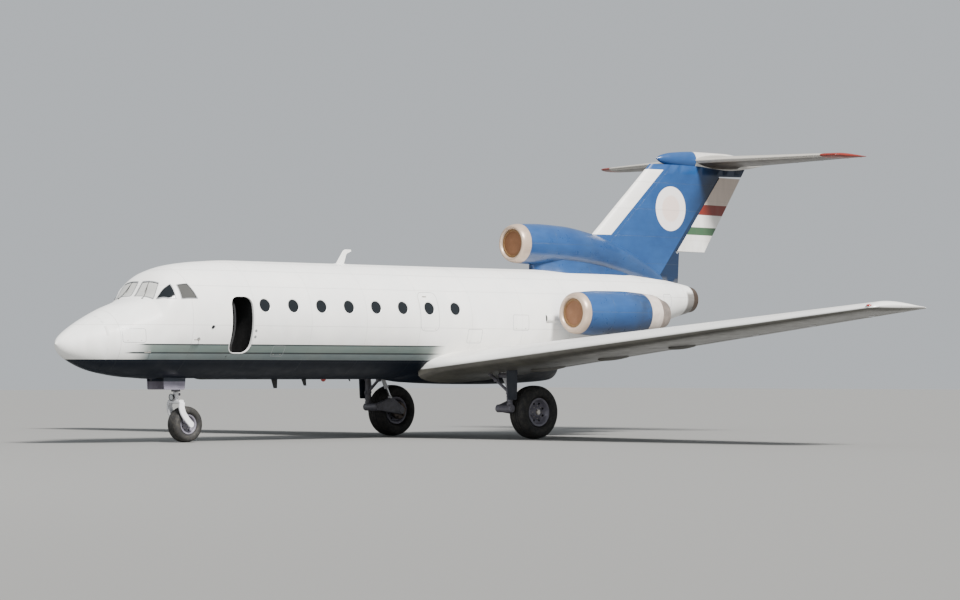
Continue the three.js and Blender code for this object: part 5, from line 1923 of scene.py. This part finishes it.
def side_brace(label, side):
    x, y = MAIN_LEG
    low, top = at(x, side * y, 0.96), at(x - 0.06, side * 1.3, 1.64)
    brace = Shape()
    near, elbow, far = (low.lerp(top, share) for share in (0.07, 0.40, 0.93))
    along_x = Vector((0.05, 0, 0))
    brace.bar(near, elbow, 0.032, 0.006, 28)
    brace.bar(elbow, far, 0.037, 0.006, 28)
    brace.bar(elbow - along_x, elbow + along_x, 0.042, 0.006, 28)
    brace.bar(low - along_x * 1.7, low + along_x * 1.7, 0.036, 0.006, 28)
    part(brace, f"folding_brace_{label}", GEAR, replaces=(f"side_brace_{label}",))


def make_main_gear(label, side):
    main_leg(label, side)
    main_damper(label, side)
    main_hoses(label, side)
    main_lever(label, side)
    main_brake(label, side)
    main_door(label, side)
    side_brace(label, side)
    nodes = (f"main_tyre_{label}", f"main_rim_{label}")
    wheel_pieces(MAIN_WHEEL, side, f"main_wheel_{label}", *nodes, f"main_wheel_{label}")


# Nose landing gear


def make_nose_strut():
    leg = Shape()
    x = STEER_X
    leg.bar(at(x, 0, 1.19), at(x, 0, BAY["top"] - 0.0005), 0.065, 0.006, 40)
    bore = 0.0345
    outside = ((0, 0.086), (0.008, 0.091), (0.082, 0.091), (0.09, 0.086), (0.18, 0.068))
    leg.turned(((0, bore), *outside, (0.18, bore), (0, bore)), at(x, 0, 1.0105), (0, 0, 1), 48)
    leg.pin(x, 1.6, -BAY_REACH, BAY_REACH, 0.047, 0.008, 32)
    for z in (1.30, 1.46):
        collar(leg, at(x, 0, 0), z, 0.03, 0.076)
    part(leg, "nose_leg", GEAR, replaces=("nose_strut",))


def make_steering_unit():
    x = STEER_X
    block = Shape()
    block.pin(x - 0.112, 1.112, -0.150, 0.150, 0.032, 0.008, 32)
    for y in (-0.11, 0.11):
        block.pin(x - 0.112, 1.112, y - 0.03, y + 0.03, 0.040, 0.006, 32)
    block.box(at(x - 0.11, -0.08, 1.085), at(x - 0.05, 0.08, 1.140), 0.008)
    part(block, "steering_unit", GEAR)


def make_nose_brace():
    """Two bars from the leg to the front of the bay, and the pins that join them."""
    x = STEER_X
    brace = Shape()
    start, top = at(x - 0.04, 0, 1.18), at(BAY["from"] + 0.16, 0, BAY["top"] - 0.06)
    for y in (-0.055, 0.055):
        across = Vector((0, y, 0))
        brace.bar(start + across, top + across, 0.022, 0.004, 24)
    brace.pin(x - 0.04, 1.18, -0.085, 0.085, 0.030, 0.006, 28)
    for centre, reach, size, sides in (
        (top, BAY_REACH, (0.029, 0.006), 28),
        (start.lerp(top, 0.5), 0.09, (0.018, 0.004), 24),
    ):
        brace.bar(centre - Vector((0, reach, 0)), centre + Vector((0, reach, 0)), *size, sides)
    part(brace, "nose_brace", GEAR, replaces=("nose_drag_brace",))


def fork_outline():
    """Side view of a fork arm: a band of changing width along a curve."""
    path = ((2.925, 0.800), (2.915, 0.700), (2.950, 0.590), (3.035, 0.475), (3.150, 0.360))
    widths = (0.062, 0.066, 0.064, 0.060, 0.058)
    steps = 6
    curve = curve_through([Vector(point) for point in path], steps)
    front, back = [], []
    for i, point in enumerate(curve):
        tangent = (curve[min(i + 1, len(curve) - 1)] - curve[max(i - 1, 0)]).normalized()
        normal = Vector((-tangent.y, tangent.x)) * widths[i // steps]
        front.append(tuple(point - normal))
        back.append(tuple(point + normal))
    return front + back[::-1]


def make_fork():
    """Steered fork with the axle, the taxi lamp and the lugs of its link."""
    x, wheel_x, radius = STEER_X, NOSE_WHEEL["x"], NOSE_WHEEL["radius"]
    fork = Shape()
    fork.bar(at(x, 0, 0.914), at(x, 0, 1.185), 0.0337, 0.003, 40)
    fork.bar(at(x, 0, 0.79), at(x, 0, 1.004), 0.056, 0.006, 40)
    bridge = ((x - 0.06, 0.772), (x + 0.06, 0.772), (x + 0.055, 0.85), (x - 0.055, 0.85))
    fork.prism(rounded(bridge, 0.03, 6), -0.2, 0.2, across_y, 0.012)
    inner = NOSE_WHEEL["half"] + 0.020
    outline = fork_outline()
    for _, side in SIDES:
        y0, y1 = sorted((side * inner, side * 0.221))
        fork.prism(outline, y0, y1, across_y, 0.010)
        boss = sorted((side * (inner - 0.004), side * 0.2219))
        fork.pin(wheel_x, radius, *boss, 0.062, 0.006, 40)
    part(fork, "nose_trailing_fork", WHITE_GEAR, body="nose_steering_leg", replaces=("nose_fork",))
    axle = Shape().pin(wheel_x, radius, -0.2215, 0.2215, 0.0255, 0.003, 40)
    part(axle, "nose_axle", BRASS, body="nose_steering_leg")
    make_taxi_lamp()
    links = Shape()
    for y in (-0.03, 0.03):
        links.box(at(x + 0.058, y - 0.010, 0.93), at(x + 0.085, y + 0.010, 0.985), 0.004)
    links.pin(x + 0.075, 0.955, -0.05, 0.05, 0.010)
    part(links, "steering_link_lugs", GEAR, body="nose_steering_leg")


def make_taxi_lamp():
    place = (at(STEER_X - 0.052, 0, 0.905), (-1, 0, -0.08), 40)
    shell = (
        (0, 0),
        (0, 0.030),
        (0.030, 0.060),
        (0.062, 0.072),
        (0.070, 0.072),
        (0.070, 0.064),
        (0.058, 0.060),
        (0.058, 0),
    )
    part(Shape().turned(shell, *place), "taxi_lamp_housing", BLACK, body="nose_steering_leg")
    dome = ((0.056, 0), (0.056, 0.063), (0.064, 0.060), (0.070, 0.040), (0.073, 0))
    part(Shape().turned(dome, *place), "taxi_lamp_lens", CLEAR_LENS, body="nose_steering_leg")


def make_nose_doors():
    corners = ((2.42, 1.052), (2.93, 1.052), (2.955, 1.31), (2.405, 1.31))
    for label, side in SIDES:
        y = side * (BAY["half"] + 0.020)

        def place(u, v, w):
            return at(u, y + side * w, v)

        outline = rounded(corners, 0.04, 8)
        door = Shape().prism(outline, 0.0005, 0.0135, place, 0.003)
        door.prism(inset(outline, 0.035), -0.006, 0.003, place, 0.002)
        nodes = (f"nose_door_{label}",)
        part(door, f"nose_door_skin_{label}", NOSE_DOOR_PAINT, replaces=nodes)
        arms = Shape()
        for px in (2.50, 2.86):
            base = at(px, side * (BAY["half"] - 0.03), 1.42)
            bend = at(px, side * (BAY["half"] + 0.006), 1.33)
            arms.tube((base, bend, at(px, y - side * 0.002, 1.20)), 0.011)
        part(arms, f"nose_door_arms_{label}", GEAR)


def make_nose_gear():
    make_nose_strut()
    make_steering_unit()
    make_nose_brace()
    make_fork()
    make_nose_doors()
    wheel_pieces(NOSE_WHEEL, -1, "nose_wheel", "nose_tyre", "nose_rim", "nose_wheel")


# Details of the fuselage


def hull_outline(shape, corners, side, wide, radius):
    """Thin raised edge that follows the skin round an outline of (station, z) corners."""
    outline = even(rounded(corners, radius, 6), 0.05)
    levels = ((-0.004, 0), (0.0012, 0), (0.0012, wide), (-0.004, wide))
    return hull_band(shape, outline, side, levels)


def blade(shape, foot, height, chord, taper, sweep):
    """Thin fin on the skin; a negative height hangs down."""
    rings = []
    for share in (0, 0.5, 0.85, 0.96, 1):
        size = chord * (1 - (1 - taper) * share) * (0.9 if share == 1 else 1)
        outline = foil(size, 0.012 / chord, 0, 8)
        base = Vector(foot) + Vector((sweep * share, 0, height * share))
        rings.append([base + Vector((u, v, 0)) for u, v in outline])
    return shape.loft(rings)


# Belly antennas: station, y, how far the foot is above the keel, height, chord
BELLY_ANTENNAS = (
    (5.35, 0, 0.02, -0.20, 0.17),
    (6.15, 0, 0.02, -0.15, 0.13),
    (7.60, 0.25, 0.06, -0.10, 0.06),
    (11.9, 0, 0.02, -0.16, 0.15),
)


def make_antennas():
    outline = rounded(
        ((7.070, 3.630), (7.290, 3.630), (7.372, 3.872), (7.500, 3.918), (7.494, 3.957), (7.300, 3.957)),
        (0.004, 0.004, 0.10, 0.015, 0.015, 0.12),
        8,
    )
    hook = Shape().prism(outline, -0.013, 0.013, across_y, 0.006)
    hook.prism(rounded(rectangle(7.03, 7.33, 3.62, 3.656), 0.010, 4), -0.035, 0.035, across_y, 0.008)
    part(hook, "roof_antenna", TRIM, replaces=("dorsal_antenna",))
    blades = Shape()
    for station, y, rise, height, chord in BELLY_ANTENNAS:
        blade(blades, at(station, y, hull(station)[1] + rise), height, chord, 0.55, 0.07)
    part(blades, "belly_antennas", BLACK)
    beacon = Shape().ball(at(6.75, 0, hull(6.75)[1] + 0.01), (0.055, 0.055, 0.06), 10, 32)
    part(beacon, "belly_beacon", RED_LENS)


def disc_profile(sunk, proud, radius):
    """Section of a thin disc with a bevelled edge, as (outward, radius)."""
    return ((-sunk, radius), (proud, radius - 0.001), (proud, 0), (-sunk, 0))


def make_probes():
    probes, vanes = Shape(), Shape()
    for _, side in SIDES:
        for station, z in ((1.62, 1.80), (2.66, 2.05)):
            angle = hull_angle(station, z)
            foot = on_hull(station, angle, side, -0.01)
            outward = (on_hull(station, angle, side, 0.09) - foot).normalized()
            knee = foot + outward * 0.075
            ahead = [knee - Vector((reach, 0, 0)) for reach in (0.03, 0.16)]
            probes.tube((foot, foot + outward * 0.055, *ahead), 0.0085, 12, 5)
            hull_disc(vanes, disc_profile(0.005, 0.004, 0.035), station, angle, side, 24)
        for station, z in ((4.02, 2.10), (4.02, 2.22)):
            disc = disc_profile(0.005, 0.002, 0.030)
            hull_disc(vanes, disc, station, hull_angle(station, z), side, 24)
    part(probes, "air_data_probes", BRASS)
    part(vanes, "static_plates", FRAME)
    make_wipers()


def make_wipers():
    wipers = Shape()
    arm = ((1.80, 72, 0.0), (1.84, 73, 0.016), (1.93, 76, 0.018), (2.01, 79, 0.012))
    edge = ((1.92, 77.5, 0.008), (1.98, 78.5, 0.008), (2.05, 79.5, 0.008))
    for _, side in SIDES:
        wipers.tube([on_hull(s, d, side, out) for s, d, out in arm], 0.0055, 10, 4)
        wipers.tube([on_hull(s, d, side, out) for s, d, out in edge], 0.005, 8, 4)
        wipers.ball(on_hull(1.80, 72, side), (0.02, 0.02, 0.02), 8, 16)
    part(wipers, "wipers", BLACK)


PANELS = {
    "both": (
        ((1.08, 1.52), (1.98, 2.24), 0.04),
        ((8.40, 8.91), (2.26, 3.06), 0.14),
        ((9.75, 10.15), (2.02, 2.30), 0.04),
        ((11.05, 11.50), (2.30, 2.62), 0.04),
        ((15.10, 15.45), (2.86, 3.12), 0.04),
        ((16.25, 16.55), (2.86, 3.16), 0.04),
    ),
    -1: (((4.55, 4.85), (1.72, 1.92), 0.03),),
    1: (((3.43, 3.95), (1.79, 2.89), 0.18), ((10.35, 11.00), (2.02, 2.86), 0.10)),
}


def make_panels():
    edges, latches = Shape(), Shape()
    for _, side in SIDES:
        for stations, heights, radius in PANELS["both"] + PANELS[side]:
            hull_outline(edges, rectangle(*stations, *heights), side, 0.007, radius)
            for share in (0.2, 0.8):
                station = stations[0] + (stations[1] - stations[0]) * share
                angle = hull_angle(station, heights[0] + 0.035)
                hull_disc(latches, disc_profile(0.004, 0.0025, 0.011), station, angle, side, 12)
            if heights[1] - heights[0] > 0.7:
                angle = hull_angle(stations[0] + 0.12, heights[1] - 0.09)
                handle = on_hull(stations[0] + 0.12, angle, side, 0.004)
                latches.bar(handle, handle + Vector((0.11, 0, 0)), 0.012, 0.004, 16)
    part(edges, "panel_edges", FRAME)
    part(latches, "panel_latches", BRASS)


def scoop_ring(aft, side, half, foot, high):
    """Half round section of an air scoop on the fuselage's skin."""
    station = SCOOP[0] + aft
    ring = []
    for k in range(16):
        a = math.pi * k / 15
        degrees = hull_angle(station, SCOOP[1] + half * math.cos(a))
        ring.append(on_hull(station, degrees, side, foot + high * math.sin(a)))
    return ring


def make_scoop():
    """Small air scoops on the rear fuselage, in front of the pylons."""
    scoops, throats = Shape(), Shape()
    for _, side in SIDES:
        hood = ((0, 0.065), (0.05, 0.072), (0.16, 0.065), (0.28, 0.040), (0.38, 0.014))
        scoops.loft([scoop_ring(aft, side, 0.085, -0.01, high) for aft, high in hood])
        throats.loft([scoop_ring(aft, side, 0.072, 0.002, 0.043) for aft in (-0.002, 0.004)])
    part(scoops, "air_scoops", TRIM)
    part(throats, "scoop_throats", BLACK)


def make_bay_ribs():
    """Ribs and pipes in the nose wheel bay and the stairwell."""
    ribs = Shape()
    for half, stations, low, top in (
        (BAY["half"], (2.45, 2.62, 2.79, 3.10, 3.27, 3.44), 1.38, BAY["top"]),
        (STAIR["half"], (13.2, 13.5, 13.8, 14.1, 14.4, 14.7), 2.20, 2.50),
    ):
        for station in stations:
            for _, side in SIDES:
                y0, y1 = sorted((side * (half + 0.002), side * (half - 0.022)))
                ribs.box(at(station - 0.009, y0, low), at(station + 0.009, y1, top - 0.001), 0.003)
            roof = at(station + 0.009, half, top + 0.002)
            ribs.box(at(station - 0.009, -half, top - 0.024), roof, 0.003)
    part(ribs, "bay_ribs", PRIMER)


def make_belly_fairing():
    """Fairing under the wing's root."""
    rings = []
    steps, sides, middle = 36, 48, 1.62
    for i in range(steps + 1):
        share = i / steps
        station = 8.45 + 4.75 * share
        fullness = math.sin(math.pi * share) ** 0.45 if 0 < share < 1 else 0.0
        half = 0.30 + 0.62 * fullness
        deep = middle - (1.262 - 0.125 * fullness)
        ring = []
        for k in range(sides):
            a = 2 * math.pi * (k + 0.5) / sides
            across, up = math.cos(a), math.sin(a)
            y = half * math.copysign(abs(across) ** 0.8, across)
            rise = deep * math.copysign(abs(up) ** 0.9, up) * (1 if up < 0 else 0.1)
            ring.append(at(station, y, middle + rise))
        rings.append(ring)
    part(Shape().loft(rings), "belly_fairing", HULL)


# Details of the wings and the tail


def make_fillet(label, side):
    """Curved joint of the wing and the fuselage."""
    rings = []
    for i in range(13):
        share = i / 12
        y = 0.62 + 0.76 * share
        grow = 0.13 * (1 - share) ** 2.2
        section = wing_section(y)
        chord = section["chord"]
        ring = []
        for u, v in foil(chord, section["thick"], WING_CAMBER, 20):
            aft = u / chord
            middle = camber_at(min(1, max(0, aft)), WING_CAMBER, chord)
            push = grow if v >= middle else -grow * 0.6
            front = -grow * 0.5 * max(0, 1 - aft / 0.25)
            z = section["z"] + v + push * (1 - aft * 0.75)
            ring.append(at(section["le"] + u + front, side * y, z))
        rings.append(ring)
    fillet = dressed(Shape().loft(rings), f"wing_fillet_{label}", WING)
    carve(fillet, box_tool("box", (8.0, 11.78), 1.5, (0.9, 2.4), WING), "INTERSECT")
    shade(fillet, 40)
    show(fillet, "airframe")


def make_flap_fairings(label, side):
    """Spindles under the flap; peak is the share of their length where they are fullest."""
    fairings = Shape()
    peak = 0.55
    for y in (2.35, 4.40, 6.45):
        hinge, half = wing_hinge(side, y)
        start = wing_point(side, y, 0.42, False)
        rings = []
        end = hinge.x - half - 0.035
        for i in range(15):
            share = i / 14
            x = start.x + (end - start.x) * share
            size = math.sqrt(max(0.0, 1 - (1 - min(1, share / peak)) ** 2))
            if share >= peak:
                size *= 1 - 0.45 * ((share - peak) / (1 - peak)) ** 2
            z = start.z + (hinge.z - half * 0.9 - start.z) * share
            rings.append(ellipse(x - NOSE, z - 0.02, 0.006 + 0.030 * size, 0.008 + 0.050 * size, 20))
        fairings.loft([[p + Vector((0, side * y, 0)) for p in ring] for ring in rings])
    part(fairings, f"flap_track_fairings_{label}", WING)


def make_wing_details(label, side):
    make_fillet(label, side)
    make_flap_fairings(label, side)
    lens = Shape().ball(wing_point(side, 12.36, 0.02), (0.050, 0.060, 0.022), 12, 28)
    part(lens, f"tip_light_{label}", RED_LENS if side < 0 else GREEN_LENS)
    wicks = Shape()
    for y in (8.6, 9.7, 10.8, 11.7):
        tail = wing_point(side, y, 0.985)
        wicks.rod(tail, tail + Vector((0.13, side * 0.012, -0.004)), 0.004, 0.0022, 10)
    part(wicks, f"aileron_wicks_{label}", BLACK, body=f"aileron_body_{label}")
    caps = Shape()
    for y in (3.3, 5.6, 8.4, 10.2):
        spot = wing_point(side, y, 0.36)
        normal = (spot - wing_point(side, y, 0.36, False)).normalized()
        cap = ((-0.006, 0), (-0.006, 0.058), (0.002, 0.056), (0.004, 0.048), (0.004, 0))
        caps.turned(cap, spot, normal, 32)
        caps.bar(spot + Vector((-0.02, 0, 0.003)), spot + Vector((0.02, 0, 0.003)), 0.0055, 0.002, 12)
    part(caps, f"fuel_caps_{label}", FRAME)
    brackets = Shape()
    for y in (8.3, 9.9, 11.5):
        hinge, half = wing_hinge(side, y)
        low = hinge + Vector((-half - 0.20, -0.010, -half - 0.028))
        brackets.box(low, hinge + Vector((-half - 0.014, 0.010, -half * 0.4)), 0.004)
    part(brackets, f"aileron_brackets_{label}", WHITE_GEAR)


def make_tail_details():
    light = Shape().ball((HALF_LENGTH - 0.030, 0, BULLET_Z), (0.040, 0.022, 0.022), 12, 24)
    part(light, "tail_light", CLEAR_LENS)
    for label, side in SIDES:
        wicks = Shape()
        for y in (1.2, 2.1, 3.0, 3.45):
            section = tail_section(y)
            tail = at(section["le"] + section["chord"] * 0.985, side * y, TAIL_Z)
            wicks.rod(tail, tail + Vector((0.11, side * 0.01, 0)), 0.004, 0.0022, 10)
        part(wicks, f"elevator_wicks_{label}", BLACK, body=f"elevator_body_{label}")
    fittings = Shape()
    for z in (4.42, 4.92, 5.42):
        hinge = rudder_hinge(z)
        half = fin_half(hinge.x - NOSE, z)
        for _, side in SIDES:
            y0, y1 = sorted((side * (half * 0.9), side * (half + 0.012)))
            back = hinge + Vector((-half - 0.012, y1, 0.022))
            fittings.box(hinge + Vector((-0.16, y0, -0.022)), back, 0.005)
    part(fittings, "rudder_brackets", FIN)
    make_bullet_fillet()


def make_bullet_fillet():
    """Fairing of the tailplane's root against the bullet."""
    rings = []
    for i in range(9):
        share = i / 8
        y = 0.10 + 0.16 * share
        section = tail_section(y)
        grow = 0.055 * (1 - share) ** 2
        ring = []
        for u, v in foil(section["chord"], section["thick"], 0, 16):
            bulge = math.sin(math.pi * min(1, max(0, u / section["chord"]))) ** 0.5
            ring.append(at(section["le"] + u, y, TAIL_Z + v + math.copysign(grow, v) * bulge))
        rings.append(ring)
    fillets = Shape().loft(rings)
    fillets.loft([[Vector((p.x, -p.y, p.z)) for p in ring] for ring in rings])
    piece = dressed(fillets, "tailplane_fillets", TAILPLANE)
    carve(piece, box_tool("front", (17.0, 19.33), 0.5, (6.0, 6.6), TAILPLANE), "INTERSECT")
    shade(piece, 40)
    show(piece, "airframe")


COWL_LATCH = ((-0.004, 0), (-0.004, 0.020), (0.004, 0.018), (0.004, 0))
# Scoop under a cowl: distance aft of the intake, drop below the cowl, half width
COWL_SCOOP = ((1.10, 0.030, 0.050), (1.16, 0.030, 0.060), (1.30, 0.012, 0.052), (1.44, -0.030, 0.030))


def make_engine_details():
    fittings, latches = Shape(), Shape()
    for _, side in SIDES:
        station, y, z = SIDE_ENGINE
        for aft in (0.45, 0.95, 1.50, 2.00):
            radius = nacelle(aft)[0]
            for degrees in (-78, -66):
                a = math.radians(degrees)
                foot = at(station + aft, side * y + math.cos(a) * radius, z + math.sin(a) * radius)
                outward = Vector((0, math.cos(a), math.sin(a)))
                latches.turned(COWL_LATCH, foot, outward, 12)
        low = z - nacelle(1.2)[0]
        rings = [ellipse(station + aft, low - drop, wide, wide * 0.7, 20) for aft, drop, wide in COWL_SCOOP]
        fittings.loft([[p + Vector((0, side * y, 0)) for p in ring] for ring in rings])
        drain = at(station + 1.75, side * y, z - nacelle(1.75)[0] + 0.01)
        fittings.rod(drain, drain + Vector((0.05, 0, -0.075)), 0.012, 0.011, 16)
    part(fittings, "nacelle_drains", NACELLE_PAINT)
    part(latches, "cowl_latches", BRASS)


def make_details():
    make_antennas()
    make_probes()
    make_panels()
    make_scoop()
    make_bay_ribs()
    make_belly_fairing()
    for label, side in SIDES:
        make_wing_details(label, side)
    make_tail_details()
    make_engine_details()


make_fuselage()
make_radome()
make_glazing()
make_windows()
for label, side in SIDES:
    make_wing(label, side)
make_fin()
make_bullet()
make_tailplane()
make_duct()
make_engines()
make_crew_door()
make_door_surround()
make_airstair()
make_nose_gear()
for label, side in SIDES:
    make_main_gear(label, side)
make_details()


# Stage, light and camera


def make_floor():
    mesh = bpy.data.meshes.new("floor")
    reach = 160
    corners = [(-reach, -reach, 0), (reach, -reach, 0), (reach, reach, 0), (-reach, reach, 0)]
    mesh.from_pydata(corners, [], [(0, 1, 2, 3)])
    floor = placed("floor", mesh)
    mesh.materials.append(Finish("pale_floor").finish((0.215, 0.215, 0.21), 0.9, specular=0.1))


def aim_at(obj, direction):
    obj.rotation_euler = direction.to_track_quat("-Z", "Y").to_euler()


def area_light(name, place, target, size, power, colour=(1, 1, 1)):
    data = bpy.data.lights.new(name, "AREA")
    data.shape = "DISK"
    data.size = size
    data.energy = power
    data.color = colour
    light = placed(name, data)
    light.location = place
    aim_at(light, Vector(target) - Vector(place))


def soft_sun(name, toward, strength, spread_degrees, colour):
    """Even light from far away, with soft shadows; toward points from the aeroplane to the light."""
    data = bpy.data.lights.new(name, "SUN")
    data.energy = strength
    data.angle = math.radians(spread_degrees)
    data.color = colour
    aim_at(placed(name, data), -Vector(toward))


def make_light():
    world = bpy.data.worlds.new("studio")
    bpy.context.scene.world = world
    world.use_nodes = True
    background = world.node_tree.nodes["Background"]
    background.inputs[0].default_value = (0.90, 0.95, 1.0, 1)
    background.inputs[1].default_value = 0.62
    soft_sun("key", (-0.14, -0.70, 0.72), 9.5, 14, (1.0, 0.975, 0.94))
    area_light("fill", (-40, -12, 14), (0, 0, 2), 12, 2600, (0.93, 0.96, 1.0))


# Camera: its place and axes, focal length and principal point in pixels of a picture WIDE pixels wide,
# the pixel in the middle of the picture, and how much longer the lens is
CAMERA = Vector((-45.6, -50.05, 1.39))
FORWARD = Vector((0.677, 0.736, 0))
RIGHT = Vector((0.736, -0.677, 0))
WIDE = 960
FOCAL = 739
PRINCIPAL = (603.5, 381)
AIM = (608, 364)
CLOSER = 4.27
SENSOR = 36


def make_camera():
    """The photograph's viewpoint, with a longer lens that is turned to the aeroplane."""
    data = bpy.data.cameras.new("camera")
    data.sensor_width = SENSOR
    data.lens = FOCAL / WIDE * SENSOR * CLOSER
    data.clip_end = 500
    camera = placed("camera", data)
    across = (AIM[0] - PRINCIPAL[0]) / FOCAL
    up = (PRINCIPAL[1] - AIM[1]) / FOCAL
    camera.location = CAMERA
    aim_at(camera, FORWARD + RIGHT * across + Vector((0, 0, up)))
    bpy.context.scene.camera = camera


make_floor()
make_light()
make_camera()
